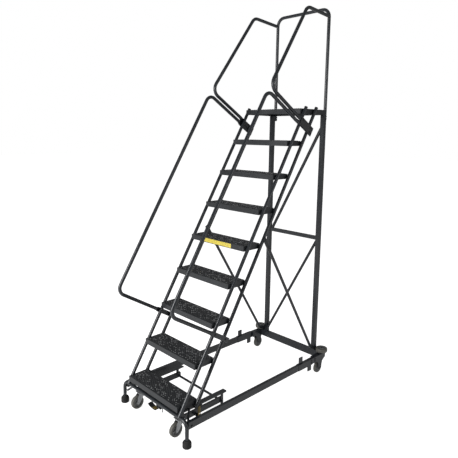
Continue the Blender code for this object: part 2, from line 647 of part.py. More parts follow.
# ------------------------------------------------------------------ step lock under the first tread
def make_angle_frames():
    """Angle irons under the first tread; each ends in a plate that carries the pivot rod."""
    front = FRONT_BAR_Y + R + GAP + 0.0001
    low, high = (FIRST_RISE - drop for drop in ANGLE_DROPS)
    outline = [(front, low), (front, ANGLE_TOP), (ANGLE_RISE[0], ANGLE_TOP), (ANGLE_RISE[1], high),
               (ANGLE_REACH, high), (ANGLE_REACH, low), (HANGER[1], low), (HANGER[1], HANGER_BOTTOM),
               (HANGER[0], HANGER_BOTTOM), (HANGER[0], low)]
    for side, sign in SIDES:
        inner, outer = sign * ANGLE_X, sign * (ANGLE_X + ANGLE_WALL)
        upright = prism(outline, *sorted((inner, outer)))
        flange_x = sorted((sign * (ANGLE_X - ANGLE + ANGLE_WALL), sign * (ANGLE_X + ANGLE_WALL / 2)))
        flange = box((flange_x[0], front, ANGLE_TOP - ANGLE_WALL), (flange_x[1], ANGLE_RISE[0], ANGLE_TOP))
        ledge = box((flange_x[0], ANGLE_RISE[1] + 0.001, high - ANGLE_WALL), (flange_x[1], ANGLE_REACH, high))
        seat_x = sorted((sign * (ANGLE_X + ANGLE_WALL / 2), sign * (SPRING_X + SPRING_RADIUS + 0.004)))
        seat = box((seat_x[0], SPRING_Y - SEAT_DEPTH * 1.5, SPRING_HANGER_Z),
                   (seat_x[1], SPRING_Y + SEAT_DEPTH / 2, SPRING_HANGER_Z + SEAT))
        hole = rod((inner - 0.02, *PIVOT), (inner + 0.02, *PIVOT), PIVOT_ROD / 2 + GAP, 16)
        add_part(f"step_frame_{side}", joined([upright, flange, ledge, seat], [hole]), "dark_enamel")
    reach = ANGLE_X + ANGLE_WALL + 0.006
    add_part("pivot_rod", rod((-reach, *PIVOT), (reach, *PIVOT), PIVOT_ROD / 2, 16), "dark_enamel", smooth=True)


def make_rocker():
    """The rocker frame: two arms on the pivot rod and a front bar that carries the casters."""
    at = Vector((0, *PIVOT))
    arm_width, arm_low, arm_top = ROCKER_ARM
    bar_front, bar_back, bar_bottom = ROCKER_BAR
    half = ROCKER_ARM_X + arm_width / 2
    bar_top = bar_bottom + BAR_HEIGHT
    pieces = [box((-half, bar_front - at.y, bar_bottom - at.z), (half, bar_back - at.y, bar_top - at.z))]
    reach, start = at.y + ARM_END, bar_back + 0.003
    outline = [(bar_back - 0.02, bar_bottom + 0.001), (bar_back - 0.02, arm_top), (reach, arm_top),
               (reach, arm_low), (start, arm_low), (start, bar_bottom + 0.001)]
    outline = [(y - at.y, z - at.z) for y, z in outline]
    holes = []
    for _, sign in SIDES:
        x = sign * ROCKER_ARM_X
        pieces.append(prism(outline, x - arm_width / 2 + 0.0002, x + arm_width / 2 - 0.0002))
        seat_x = sorted((sign * ROCKER_ARM_X, sign * (SPRING_X + SPRING_RADIUS + 0.004)))
        pieces.append(box((seat_x[0], SPRING_Y - SEAT_DEPTH / 2 - at.y, SPRING_SEAT_Z - at.z),
                          (seat_x[1], SPRING_Y + SEAT_DEPTH / 2 - at.y, SPRING_SEAT_Z + SEAT - at.z)))
        holes.append(rod((x - 0.02, 0, 0), (x + 0.02, 0, 0), PIVOT_ROD / 2 + RUNNING, 16))
    return add_part("caster_frame", joined(pieces, holes), "dark_enamel", at=at)


def make_springs():
    """The springs between the fixed seats and the rocker's seats, as plain sleeves."""
    for side, sign in SIDES:
        x = sign * SPRING_X
        bm = rod((x, SPRING_Y, SPRING_SEAT_Z + SEAT + GAP), (x, SPRING_Y, SPRING_HANGER_Z - GAP), SPRING_RADIUS)
        add_part(f"lock_spring_{side}", bm, "yellow_zinc", smooth=True)


def make_pedal():
    """The release pedal, its pin and hook, and the two cheeks that hold the pin."""
    pin_y, pin_z = PEDAL_PIN[0], FRONT_BAR_Z - PEDAL_PIN[1]
    left, right = PEDAL_CHEEKS
    cheek = 0.004
    block_top = FRONT_BAR_Z - R - GAP
    near, far = pin_y - 0.026, pin_y + 0.006
    outline = [(near, block_top), (far, block_top), (far, pin_z - 0.012), (pin_y - 0.012, pin_z - 0.012),
               (near, pin_z + 0.006)]
    pieces = [prism(outline, left, left + cheek), prism(outline, right - cheek, right),
              box((left + 0.001, near + 0.001, block_top - 0.004), (right - 0.001, far - 0.001, block_top - 0.0002))]
    hole = rod((left - 0.01, pin_y, pin_z), (right + 0.01, pin_y, pin_z), PEDAL_PIN_RADIUS + RUNNING, 12)
    add_part("pedal_bracket", joined(pieces, [hole]), "dark_enamel")

    at = Vector((0, pin_y, pin_z))
    low_x, high_x = PEDAL_X
    low_z = pin_z - PEDAL_DROP
    span = high_x - low_x
    curl = [(low_x, low_z + PEDAL_CURL), (low_x + 0.18 * span, low_z + 0.38 * PEDAL_CURL),
            (low_x + 0.38 * span, low_z + 0.08 * PEDAL_CURL), (low_x + 0.58 * span, low_z), (high_x, low_z)]
    edge = [(x, z - pin_z) for x, z in curl] + [(x, z + PEDAL_SHEET - pin_z) for x, z in reversed(curl)]
    plate = prism(edge, PEDAL_FRONT - pin_y, 0.004)
    bmesh.ops.transform(plate, verts=plate.verts, matrix=Matrix(((0, 1, 0, 0), (1, 0, 0, 0), (0, 0, 1, 0), (0, 0, 0, 1))))
    bmesh.ops.reverse_faces(plate, faces=plate.faces)
    lug = prism([(-0.008, low_z - pin_z + 0.001), (-0.007, 0.005), (0.006, 0.007), (0.0035, low_z - pin_z + 0.001)],
                high_x - 0.006, high_x - 0.0005)
    pin = rod((high_x - 0.005, 0, 0), (HOOK_X + 0.003, 0, 0), PEDAL_PIN_RADIUS)
    hook = rod((HOOK_X, 0, 0.001), (HOOK_X, 0, -HOOK_LENGTH), 0.0033)
    add_part("release_pedal", joined([plate, lug, pin, hook]), "yellow_zinc", at=at)


# ------------------------------------------------------------------ casters and wheels
def wheel_profile(radius, width):
    """Return a wheel's turned outline: a crowned tyre, a recessed web and a hub with its bore."""
    half, hub, bore = width / 2, (width + HUB_PROUD) / 2, AXLE / 2 + RUNNING
    rim, boss = radius * 0.74, radius * 0.30
    web = half - 0.004
    right_side = [(boss, hub), (boss + 0.002, web), (rim - 0.002, web), (rim, half), (radius - 0.004, half), (radius, half * 0.5)]
    left_side = [(r, -h) for r, h in reversed(right_side)]
    return [(bore, hub), *right_side, *left_side, (bore, -hub)]


def make_front_casters(rocker):
    """Swivel casters: a plate on the rocker's bar, a fork below it, and a wheel in the fork."""
    plate_width, plate_depth, plate_thickness = CASTER_PLATE
    plate_top = ROCKER_BAR[2] - GAP
    plate_low = plate_top - plate_thickness
    crown_top = plate_low - GAP
    crown_low = crown_top - 0.012
    gap = (FRONT_WHEEL_WIDTH + HUB_PROUD) / 2 + 0.0006
    for side, sign in SIDES:
        x = sign * CASTER_X
        half, back = plate_width / 2, ROCKER_BAR[1]
        plate = box((x - half, back - plate_depth, plate_low), (x + half, back, plate_top))
        plate_part = add_part(f"caster_plate_{side}", plate, "zinc", parent=rocker)
        at = Vector((x, CASTER_Y, 0))
        outer = gap + FORK_SHEET
        cheek = [(-0.020, crown_low + 0.002), (0.020, crown_low + 0.002), (0.020, crown_low - 0.012),
                 (-CASTER_TRAIL + 0.012, WHEEL_RADIUS - 0.004), (-CASTER_TRAIL + 0.006, WHEEL_RADIUS - 0.011),
                 (-CASTER_TRAIL - 0.006, WHEEL_RADIUS - 0.011), (-CASTER_TRAIL - 0.012, WHEEL_RADIUS - 0.004),
                 (-CASTER_TRAIL - 0.006, crown_low - 0.018)]
        pieces = [box((-outer + 0.0002, -0.0198, crown_low), (outer - 0.0002, 0.0198, crown_low + 0.0045)),
                  prism(cheek, gap, outer), prism(cheek, -outer, -gap),
                  rod((0, 0, crown_low + 0.004), (0, 0, crown_top), 0.023, 20),
                  rod((-outer - 0.003, -CASTER_TRAIL, WHEEL_RADIUS), (outer + 0.003, -CASTER_TRAIL, WHEEL_RADIUS), AXLE / 2)]
        fork = add_part(f"caster_fork_{side}", joined(pieces), "zinc", at=at, parent=plate_part.parent)
        hub_at = at + Vector((0, -CASTER_TRAIL, WHEEL_RADIUS))
        add_part(f"front_wheel_{side}", turned(wheel_profile(WHEEL_RADIUS, FRONT_WHEEL_WIDTH), X_AXIS), "wheel_tread",
                 at=hub_at, parent=fork, smooth=True)


def make_rear_casters():
    """Rigid brackets behind the rails, each with a wheel below and a bumper wheel on top."""
    start, low, top = RAIL_END + GAP, RAIL_TOP - BRACKET_SHEET, RAIL_TOP
    axle_y, axle_z = REAR_WHEEL_Y, WHEEL_RADIUS
    outline = [(start, RAIL_BOTTOM), (start, top), (BRACKET_REACH, top), (BRACKET_REACH, RAIL_TOP - 0.037),
               (axle_y + 0.032, 0.106), (axle_y + 0.017, 0.042), (axle_y - 0.015, 0.042), (axle_y - 0.030, 0.106),
               (axle_y - 0.050, RAIL_BOTTOM)]
    inner, outer = CHEEK_X - BRACKET_SHEET, RAIL_X + RAIL_WIDTH / 2
    spacer = CHEEK_X + WHEEL_SLOT
    spacer_top = BUMPER_BOTTOM - GAP
    head_low = BUMPER_BOTTOM + BUMPER_WIDTH + GAP
    eps = 0.0002
    for side, sign in SIDES:
        bolt_x = sign * BUMPER_X

        def plate(from_x, to_x):
            """The bracket's side outline as a plate between two distances from the middle."""
            return prism(outline, *sorted((sign * from_x, sign * to_x)))

        ends = sorted((sign * (inner + eps), sign * (outer - eps)))
        pieces = [plate(inner, CHEEK_X), plate(outer - BRACKET_SHEET, outer),
                  box((ends[0], start + eps, low), (ends[1], BRACKET_REACH - eps, top - eps)),
                  box((ends[0], start + eps, RAIL_BOTTOM + eps), (ends[1], start + BRACKET_SHEET, top - 2 * eps)),
                  rod((bolt_x, BUMPER_Y, low + 0.001), (bolt_x, BUMPER_Y, spacer_top), BUMPER_BOLT),
                  rod((bolt_x, BUMPER_Y, spacer_top - 0.001), (bolt_x, BUMPER_Y, head_low + 0.001), BUMPER_BOLT / 2),
                  rod((bolt_x, BUMPER_Y, head_low), (bolt_x, BUMPER_Y, head_low + 0.006), BUMPER_BOLT * 0.8, 6),
                  rod((sign * (inner - 0.003), axle_y, axle_z), (sign * (outer + 0.003), axle_y, axle_z), AXLE / 2),
                  rod((sign * spacer, axle_y, axle_z), (sign * (outer - 0.001), axle_y, axle_z), AXLE)]
        add_part(f"rear_caster_bracket_{side}", joined(pieces), "dark_enamel")
        profile = wheel_profile(WHEEL_RADIUS, REAR_WHEEL_WIDTH)
        add_part(f"rear_wheel_{side}", turned(profile, X_AXIS), "wheel_tread",
                 at=(sign * REAR_WHEEL_X, axle_y, axle_z), smooth=True)
        half, bore = BUMPER_WIDTH / 2, BUMPER_BOLT / 2 + RUNNING
        disc = [(bore, half), (BUMPER_RADIUS - 0.018, half), (BUMPER_RADIUS - 0.016, half - 0.003),
                (BUMPER_RADIUS - 0.012, half - 0.003), (BUMPER_RADIUS - 0.010, half), (BUMPER_RADIUS - 0.005, half),
                (BUMPER_RADIUS, half - 0.006), (BUMPER_RADIUS, -half + 0.006), (BUMPER_RADIUS - 0.005, -half),
                (bore, -half)]
        add_part(f"bumper_wheel_{side}", turned(disc), "wheel_tread",
                 at=(bolt_x, BUMPER_Y, BUMPER_BOTTOM + half), smooth=True)


def main():
    """Build the whole ladder."""
    clear_scene()
    frame = bpy.data.objects.new("ladder_frame", None)
    frame.location = (0, -MIDDLE_Y, 0)
    bpy.context.scene.collection.objects.link(frame)
    make_stringers()
    make_treads()
    make_handrails()
    make_guard_rails()
    make_rear_rail()
    make_posts()
    make_rear_braces()
    make_side_braces()
    make_rear_crossbar()
    make_base_rails()
    make_front_frame()
    make_angle_frames()
    rocker = make_rocker()
    make_springs()
    make_pedal()
    make_front_casters(rocker)
    make_rear_casters()


main()
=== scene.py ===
"""Looks for the rolling library ladder: finishes, grip treads, fasteners, wheels and the studio.

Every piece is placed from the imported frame, in metres: +X is the climber's right, +Y runs to the
back of the ladder and +Z is up.
"""

import json
import logging
import math
from collections.abc import Iterable, Sequence
from dataclasses import dataclass, field
from enum import Enum
from typing import Any

import bmesh
import bpy
from mathutils import Matrix, Vector

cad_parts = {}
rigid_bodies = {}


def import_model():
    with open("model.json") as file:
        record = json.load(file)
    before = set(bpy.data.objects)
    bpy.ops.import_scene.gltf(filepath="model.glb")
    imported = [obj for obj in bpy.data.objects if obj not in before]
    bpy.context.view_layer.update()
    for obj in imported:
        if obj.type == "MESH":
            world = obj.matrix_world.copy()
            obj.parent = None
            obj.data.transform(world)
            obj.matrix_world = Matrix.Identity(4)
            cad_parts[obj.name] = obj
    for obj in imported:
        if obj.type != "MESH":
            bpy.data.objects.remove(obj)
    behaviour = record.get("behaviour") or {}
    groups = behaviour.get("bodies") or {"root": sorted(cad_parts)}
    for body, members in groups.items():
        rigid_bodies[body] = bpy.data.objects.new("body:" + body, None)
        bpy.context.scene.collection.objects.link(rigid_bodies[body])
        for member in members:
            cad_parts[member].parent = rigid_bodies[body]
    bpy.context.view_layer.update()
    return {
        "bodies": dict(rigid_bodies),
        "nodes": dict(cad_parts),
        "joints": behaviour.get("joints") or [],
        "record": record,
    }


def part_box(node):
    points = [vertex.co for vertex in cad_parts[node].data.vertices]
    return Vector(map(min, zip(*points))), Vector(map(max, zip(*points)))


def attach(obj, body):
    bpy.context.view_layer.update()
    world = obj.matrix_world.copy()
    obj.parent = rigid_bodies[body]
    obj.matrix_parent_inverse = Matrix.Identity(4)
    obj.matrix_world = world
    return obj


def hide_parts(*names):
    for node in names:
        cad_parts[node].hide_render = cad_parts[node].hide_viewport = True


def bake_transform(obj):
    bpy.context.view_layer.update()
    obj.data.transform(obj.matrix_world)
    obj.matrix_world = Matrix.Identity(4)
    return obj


LOG = logging.getLogger("ladder")
SIDES = (("left", -1), ("right", 1))
X_AXIS, Y_AXIS, Z_AXIS = Vector((1, 0, 0)), Vector((0, 1, 0)), Vector((0, 0, 1))
Colour = tuple[float, float, float]


# ---------------------------------------------------------------- node wrappers
class Signal:
    """One output inside a material, which can be used in Python sums."""

    def __init__(self, graph: "MaterialGraph", socket: bpy.types.NodeSocket) -> None:
        """Keep the socket and the graph that it belongs to."""
        self.graph = graph
        self.socket = socket

    def _maths(self, operation: str, first: Any, second: Any) -> "Signal":
        """Return the output of one Math node."""
        return self.graph.node("ShaderNodeMath", {"operation": operation}, {0: first, 1: second})

    def __add__(self, other: Any) -> "Signal":
        """Return self + other."""
        return self._maths("ADD", self, other)

    __radd__ = __add__

    def __sub__(self, other: Any) -> "Signal":
        """Return self - other."""
        return self._maths("SUBTRACT", self, other)

    def __rsub__(self, other: Any) -> "Signal":
        """Return other - self."""
        return self._maths("SUBTRACT", other, self)

    def __mul__(self, other: Any) -> "Signal":
        """Return self * other."""
        return self._maths("MULTIPLY", self, other)

    __rmul__ = __mul__

    def band(self, low: float, high: float) -> "Signal":
        """Return a smooth rise from 0 at low to 1 at high."""
        settings = {"interpolation_type": "SMOOTHSTEP"}
        return self.graph.node("ShaderNodeMapRange", settings, {0: self, 1: low, 2: high, 3: 0.0, 4: 1.0})


class MaterialGraph:
    """A material's node tree, filled through one node() method."""

    def __init__(self, name: str) -> None:
        """Start an empty material of this name."""
        self.material = bpy.data.materials.new(name)
        self.material.use_nodes = True
        self.tree = self.material.node_tree
        self.tree.nodes.clear()

    def node(self, kind: str, settings: dict[str, Any] | None = None,
             inputs: dict[Any, Any] | None = None, output: int | str = 0) -> Signal:
        """Add a node, set it up and link it.

        Args:
            kind: the node's type name.
            settings: properties, set before the sockets are read.
            inputs: a value or a Signal for each socket, by name or number.
            output: which output to return.

        Returns:
            The chosen output.
        """
        made = self.tree.nodes.new(kind)
        for key, value in (settings or {}).items():
            setattr(made, key, value)
        for key, value in (inputs or {}).items():
            if isinstance(value, Signal):
                self.tree.links.new(value.socket, made.inputs[key])
            else:
                made.inputs[key].default_value = value
        return Signal(self, made.outputs[output]) if len(made.outputs) else Signal(self, made.inputs[0])

    def place(self) -> Signal:
        """Return the Object coordinates."""
        return self.node("ShaderNodeTexCoord", output="Object")

    def noise(self, place: Signal, scale: float, detail: float = 3.0,
              stretch: Sequence[float] = (1, 1, 1)) -> Signal:
        """Return a noise value.

        Args:
            place: coordinates in metres.
            scale: waves to the metre, about.
            detail: how many finer layers are added.
            stretch: scale along each axis.

        Returns:
            The noise, about 0 to 1.
        """
        mapped = self.node("ShaderNodeMapping", {}, {"Vector": place, "Scale": tuple(stretch)})
        return self.node("ShaderNodeTexNoise", {}, {"Vector": mapped, "Scale": scale, "Detail": detail})

    def blend(self, factor: Any, first: Any, second: Any) -> Signal:
        """Return a colour between first and second.

        Args:
            factor: 0 for first, 1 for second.
            first: a colour or a Signal.
            second: a colour or a Signal.

        Returns:
            The mixed colour.
        """
        colours = [(*c, 1.0) if isinstance(c, tuple) else c for c in (first, second)]
        return self.node("ShaderNodeMix", {"data_type": "RGBA"}, {0: factor, 6: colours[0], 7: colours[1]}, 2)

    def bump(self, height: Signal, strength: float, distance: float) -> Signal:
        """Return a normal that follows a height.

        Args:
            height: the height, 0 to 1.
            strength: how far the effect is used.
            distance: what a height of 1 stands for, in metres.

        Returns:
            The normal.
        """
        inputs = {"Height": height, "Strength": strength, "Distance": distance}
        return self.node("ShaderNodeBump", {}, inputs)

    def finish(self, **sockets: Any) -> bpy.types.Material:
        """Close the graph with a Principled shader.

        Args:
            sockets: values and links for the shader, with _ for a space in a name.

        Returns:
            The finished material.
        """
        named = {key.replace("_", " "): value for key, value in sockets.items()}
        shader = self.node("ShaderNodeBsdfPrincipled", {}, named)
        self.node("ShaderNodeOutputMaterial", {}, {"Surface": shader})
        return self.material


class GeometryTree:
    """A Geometry Nodes tree, filled through one node() method."""

    def __init__(self, name: str) -> None:
        """Start a tree with a geometry in and a geometry out."""
        self.tree = bpy.data.node_groups.new(name, "GeometryNodeTree")
        self.tree.interface.new_socket("Geometry", in_out="INPUT", socket_type="NodeSocketGeometry")
        self.tree.interface.new_socket("Geometry", in_out="OUTPUT", socket_type="NodeSocketGeometry")
        self.source = self.tree.nodes.new("NodeGroupInput")
        self.sink = self.tree.nodes.new("NodeGroupOutput")

    def take(self, name: str, socket_type: str) -> bpy.types.NodeSocket:
        """Add a named input.

        Args:
            name: what the input is called.
            socket_type: its type, such as NodeSocketFloat.

        Returns:
            The socket to link from.
        """
        self.tree.interface.new_socket(name, in_out="INPUT", socket_type=socket_type)
        return self.source.outputs[name]

    def node(self, kind: str, settings: dict[str, Any] | None = None,
             inputs: dict[Any, Any] | None = None, output: int | str = 0) -> bpy.types.NodeSocket:
        """Add a node, set it up and link it.

        Args:
            kind: the node's type name.
            settings: properties, set before the sockets are read.
            inputs: a value or a socket for each input, by name or number.
            output: which output to return.

        Returns:
            The chosen output.
        """
        made = self.tree.nodes.new(kind)
        for key, value in (settings or {}).items():
            setattr(made, key, value)
        for key, value in (inputs or {}).items():
            targets = value if isinstance(value, list) else [value]
            for target in targets:
                if isinstance(target, bpy.types.NodeSocket):
                    self.tree.links.new(target, made.inputs[key])
                else:
                    made.inputs[key].default_value = target
        return made.outputs[output]

    def give(self, geometry: bpy.types.NodeSocket, finish: bpy.types.NodeSocket) -> None:
        """End the tree in Realize Instances and Set Material."""
        real = self.node("GeometryNodeRealizeInstances", {}, {"Geometry": geometry})
        dressed = self.node("GeometryNodeSetMaterial", {}, {"Geometry": real, "Material": finish})
        self.tree.links.new(dressed, self.sink.inputs[0])

    def bake(self, name: str, carrier: bpy.types.Mesh, values: dict[str, Any]) -> bpy.types.Object:
        """Run the tree on a mesh and keep the result as a plain object.

        Args:
            name: the new object's name.
            carrier: the mesh that the tree starts from.
            values: a value for each named input.

        Returns:
            The new object, at the origin.
        """
        holder = bpy.data.objects.new(f"{name}_source", carrier)
        bpy.context.scene.collection.objects.link(holder)
        modifier = holder.modifiers.new("tree", "NODES")
        modifier.node_group = self.tree
        for item in self.tree.interface.items_tree:
            if item.item_type == "SOCKET" and item.in_out == "INPUT" and item.name in values:
                modifier[item.identifier] = values[item.name]
        graph = bpy.context.evaluated_depsgraph_get()
        mesh = bpy.data.meshes.new_from_object(holder.evaluated_get(graph))
        bpy.data.objects.remove(holder)
        mesh.name = name
        return link_object(name, mesh)


# ---------------------------------------------------------------- finishes
@dataclass(frozen=True)
class PowderCoat:
    """Baked powder coat with orange peel, dust and a few rubbed marks."""

    name: str
    colour: Colour
    dust: Colour
    roughness: float = 0.42
    peel: float = 0.10
    rub: float = 0.5
    metallic: float = 0.0

    def build(self) -> bpy.types.Material:
        """Return the material."""
        graph = MaterialGraph(self.name)
        place = graph.place()
        cloud = graph.noise(place, 5.0, 4.0).band(0.35, 0.75)
        grain = graph.noise(place, 160.0, 2.0)
        scuff = graph.noise(place, 26.0, 6.0, (1.0, 1.0, 3.0)).band(0.62, 0.80)
        peel = graph.noise(place, 620.0, 2.0)
        base = graph.blend(cloud * 0.5 + grain * 0.25, self.colour, self.dust)
        base = graph.blend(scuff * self.rub * 0.6, base, tuple(min(1.0, c * 3.2 + 0.02) for c in self.colour))
        rough = cloud * 0.10 + grain * 0.12 + scuff * 0.10 + (self.roughness - 0.12)
        return graph.finish(Base_Color=base, Roughness=rough, Metallic=self.metallic,
                            Normal=graph.bump(peel * 0.7 + grain * 0.3, self.peel, 0.0004))


@dataclass(frozen=True)
class Rubber:
    """Matt moulded rubber with a fine grain, dust in patches and dust on its lowest few centimetres."""

    name: str
    colour: Colour
    dust: Colour
    roughness: float = 0.8

    def build(self) -> bpy.types.Material:
        """Return the material."""
        graph = MaterialGraph(self.name)
        place = graph.place()
        cloud = graph.noise(place, 30.0, 5.0).band(0.40, 0.72)
        grain = graph.noise(place, 900.0, 2.0)
        low = graph.node("ShaderNodeSeparateXYZ", {}, {"Vector": place}, "Z").band(0.03, 0.0)
        dirt = graph.node("ShaderNodeMath", {"operation": "MAXIMUM"}, {0: cloud * 0.6, 1: low * 0.5})
        base = graph.blend(dirt, self.colour, self.dust)
        return graph.finish(Base_Color=base, Roughness=grain * 0.15 + (self.roughness - 0.08),
                            Normal=graph.bump(grain, 0.25, 0.0003))


@dataclass(frozen=True)
class PlatedSteel:
    """Plated steel: faint crystal patches, rolling lines and a soft gleam."""

    name: str
    colour: Colour
    shade: Colour
    roughness: float = 0.35

    def build(self) -> bpy.types.Material:
        """Return the material."""
        graph = MaterialGraph(self.name)
        place = graph.place()
        patch = graph.node("ShaderNodeTexVoronoi", {"feature": "F1"},
                           {"Vector": place, "Scale": 240.0}, "Color")
        patch = graph.node("ShaderNodeSeparateColor", {}, {0: patch}, 0)
        lines = graph.noise(place, 60.0, 3.0, (1.0, 14.0, 14.0))
        stain = graph.noise(place, 24.0, 5.0).band(0.50, 0.75)
        base = graph.blend(patch * 0.35 + stain * 0.5, self.colour, self.shade)
        rough = patch * 0.12 + lines * 0.12 + stain * 0.15 + (self.roughness - 0.10)
        return graph.finish(Base_Color=base, Roughness=rough, Metallic=0.85,
                            Normal=graph.bump(lines, 0.12, 0.0003))


@dataclass(frozen=True)
class Moulding:
    """Moulded plastic with a faint grain."""

    name: str
    colour: Colour
    roughness: float = 0.5

    def build(self) -> bpy.types.Material:
        """Return the material."""
        graph = MaterialGraph(self.name)
        place = graph.place()
        grain = graph.noise(place, 500.0, 3.0)
        cloud = graph.noise(place, 20.0, 4.0).band(0.4, 0.8)
        shade = tuple(c * 0.72 for c in self.colour)
        return graph.finish(Base_Color=graph.blend(cloud * 0.7, self.colour, shade),
                            Roughness=grain * 0.12 + (self.roughness - 0.06),
                            Normal=graph.bump(grain, 0.15, 0.0003))


@dataclass(frozen=True)
class NoticeVinyl:
    """A yellow notice with plain dark bars in place of words."""

    name: str
    left: float
    right: float
    low: float
    high: float

    def build(self) -> bpy.types.Material:
        """Return the material."""
        graph = MaterialGraph(self.name)
        place = graph.place()
        across = graph.node("ShaderNodeSeparateXYZ", {}, {"Vector": place}, "X")
        height = graph.node("ShaderNodeSeparateXYZ", {}, {"Vector": place}, "Z")
        wide, tall = self.right - self.left, self.high - self.low
        u = (across - self.left) * (1.0 / wide)
        v = (height - self.low) * (1.0 / tall)
        rows = graph.node("ShaderNodeMath", {"operation": "FRACT"}, {0: v * 3.0})
        row_bar = rows.band(0.34, 0.40) * (1.0 - rows.band(0.58, 0.64))
        words = graph.noise(graph.node("ShaderNodeCombineXYZ", {}, {"X": u * 26.0, "Y": v * 1.0}), 1.0, 1.0)
        inside = u.band(0.05, 0.06) * (1.0 - u.band(0.94, 0.95))
        inside = inside * v.band(0.10, 0.16) * (1.0 - v.band(0.84, 0.90))
        ink = row_bar * words.band(0.42, 0.46) * inside
        grime = graph.noise(place, 40.0, 5.0).band(0.45, 0.80)
        yellow = graph.blend(grime * 0.5, (0.62, 0.50, 0.06), (0.40, 0.34, 0.09))
        return graph.finish(Base_Color=graph.blend(ink * 0.55, yellow, (0.06, 0.055, 0.03)),
                            Roughness=grime * 0.2 + 0.35, Normal=graph.bump(grime, 0.05, 0.0002))


class Slot(Enum):
    """The record's material slots."""

    FRAME = "frame_enamel"
    TREAD = "tread_enamel"
    FOOT = "foot_rubber"
    WHEEL = "wheel_rubber"
    ZINC = "zinc_plate"
    YELLOW = "yellow_zinc"
    PLUG = "plug_plastic"


@dataclass
class Palette:
    """Every finish on the ladder, built once."""

    frame: bpy.types.Material = field(init=False)
    tread: bpy.types.Material = field(init=False)
    crown: bpy.types.Material = field(init=False)
    black: bpy.types.Material = field(init=False)
    foot: bpy.types.Material = field(init=False)
    tyre: bpy.types.Material = field(init=False)
    hub: bpy.types.Material = field(init=False)
    zinc: bpy.types.Material = field(init=False)
    yellow: bpy.types.Material = field(init=False)
    plug: bpy.types.Material = field(init=False)

    def __post_init__(self) -> None:
        """Build the materials."""
        self.frame = PowderCoat("graphite_coat", (0.0120, 0.0142, 0.0175),
                                (0.0215, 0.0250, 0.0300), 0.30).build()
        self.tread = PowderCoat("tread_coat", (0.0080, 0.0092, 0.0112),
                                (0.0170, 0.0195, 0.0230), 0.40, 0.14).build()
        # Crown finish: very bright bare steel, partly real rubbing on the button crowns and partly a painted
        # highlight in place of their glints.
        self.crown = PlatedSteel("worn_and_highlight_crowns", (0.93, 0.94, 0.95), (0.60, 0.61, 0.63), 0.30).build()
        self.black = PowderCoat("black_coat", (0.012, 0.012, 0.014), (0.03, 0.03, 0.032), 0.5, 0.12).build()
        self.foot = Rubber("foot_rubber_black", (0.006, 0.006, 0.006), (0.022, 0.021, 0.020)).build()
        self.tyre = Rubber("grey_tyre", (0.085, 0.083, 0.073), (0.13, 0.126, 0.114), 0.62).build()
        self.hub = Moulding("hub_grey", (0.15, 0.155, 0.155), 0.45).build()
        self.zinc = PlatedSteel("bright_zinc", (0.36, 0.37, 0.38), (0.19, 0.20, 0.21)).build()
        self.yellow = PlatedSteel("yellow_zinc_plate", (0.46, 0.36, 0.13), (0.26, 0.21, 0.10)).build()
        self.plug = Moulding("plug_black", (0.012, 0.012, 0.013), 0.5).build()

    def for_slot(self, slot: Slot) -> bpy.types.Material:
        """Return the finish that dresses a CAD node of this slot."""
        return {Slot.FRAME: self.frame, Slot.TREAD: self.tread, Slot.FOOT: self.foot, Slot.WHEEL: self.tyre,
                Slot.ZINC: self.zinc, Slot.YELLOW: self.yellow, Slot.PLUG: self.plug}[slot]


# ---------------------------------------------------------------- mesh helpers
def link_object(name: str, mesh: bpy.types.Mesh) -> bpy.types.Object:
    """Put a mesh into the scene as an object at the origin.

    Args:
        name: the object's name.
        mesh: its mesh.

    Returns:
        The object.
    """
    piece = bpy.data.objects.new(name, mesh)
    bpy.context.scene.collection.objects.link(piece)
    return piece


def from_bmesh(name: str, bm: bmesh.types.BMesh, finish: bpy.types.Material | None = None,
               smooth_under: float = 40.0) -> bpy.types.Object:
    """Turn a bmesh into an object with shaded edges sharp above an angle.

    Args:
        name: the object's name.
        bm: the shape, freed afterwards.
        finish: its material, if any.
        smooth_under: edges flatter than this many degrees are smooth.

    Returns:
        The object.
    """
    bmesh.ops.remove_doubles(bm, verts=bm.verts, dist=1e-6)
    bmesh.ops.recalc_face_normals(bm, faces=bm.faces)
    for face in bm.faces:
        face.smooth = True
    limit = math.radians(smooth_under)
    for edge in bm.edges:
        edge.smooth = len(edge.link_faces) == 2 and edge.calc_face_angle(0.0) < limit
    mesh = bpy.data.meshes.new(name)
    bm.to_mesh(mesh)
    bm.free()
    if finish:
        mesh.materials.append(finish)
    return link_object(name, mesh)


def lathe(bm: bmesh.types.BMesh, profile: Sequence[tuple[float, float]], axis: Vector, centre: Vector,
          sides: int) -> None:
    """Add a closed ring turned from an outline.

    Args:
        bm: the mesh to add to.
        profile: (radius, distance along the axis) corners of a closed outline; radius 0 is a pole.
        axis: the turning axis.
        centre: a point on it.
        sides: how many facets go round.
    """
    turn = axis.to_track_quat("Z", "Y").to_matrix()
    rings = []
    for radius, along in profile:
        if radius < 1e-7:
            rings.append([bm.verts.new(centre + turn @ Vector((0, 0, along)))])
            continue
        angles = [2 * math.pi * k / sides for k in range(sides)]
        spots = [Vector((radius * math.cos(a), radius * math.sin(a), along)) for a in angles]
        rings.append([bm.verts.new(centre + turn @ spot) for spot in spots])
    for near, far in zip(rings, rings[1:] + rings[:1]):
        if len(near) == 1 and len(far) == 1:
            continue
        for k in range(sides):
            following = (k + 1) % sides
            if len(near) == 1:
                bm.faces.new((near[0], far[k], far[following]))
            elif len(far) == 1:
                bm.faces.new((near[k], near[following], far[0]))
            else:
                bm.faces.new((near[k], near[following], far[following], far[k]))


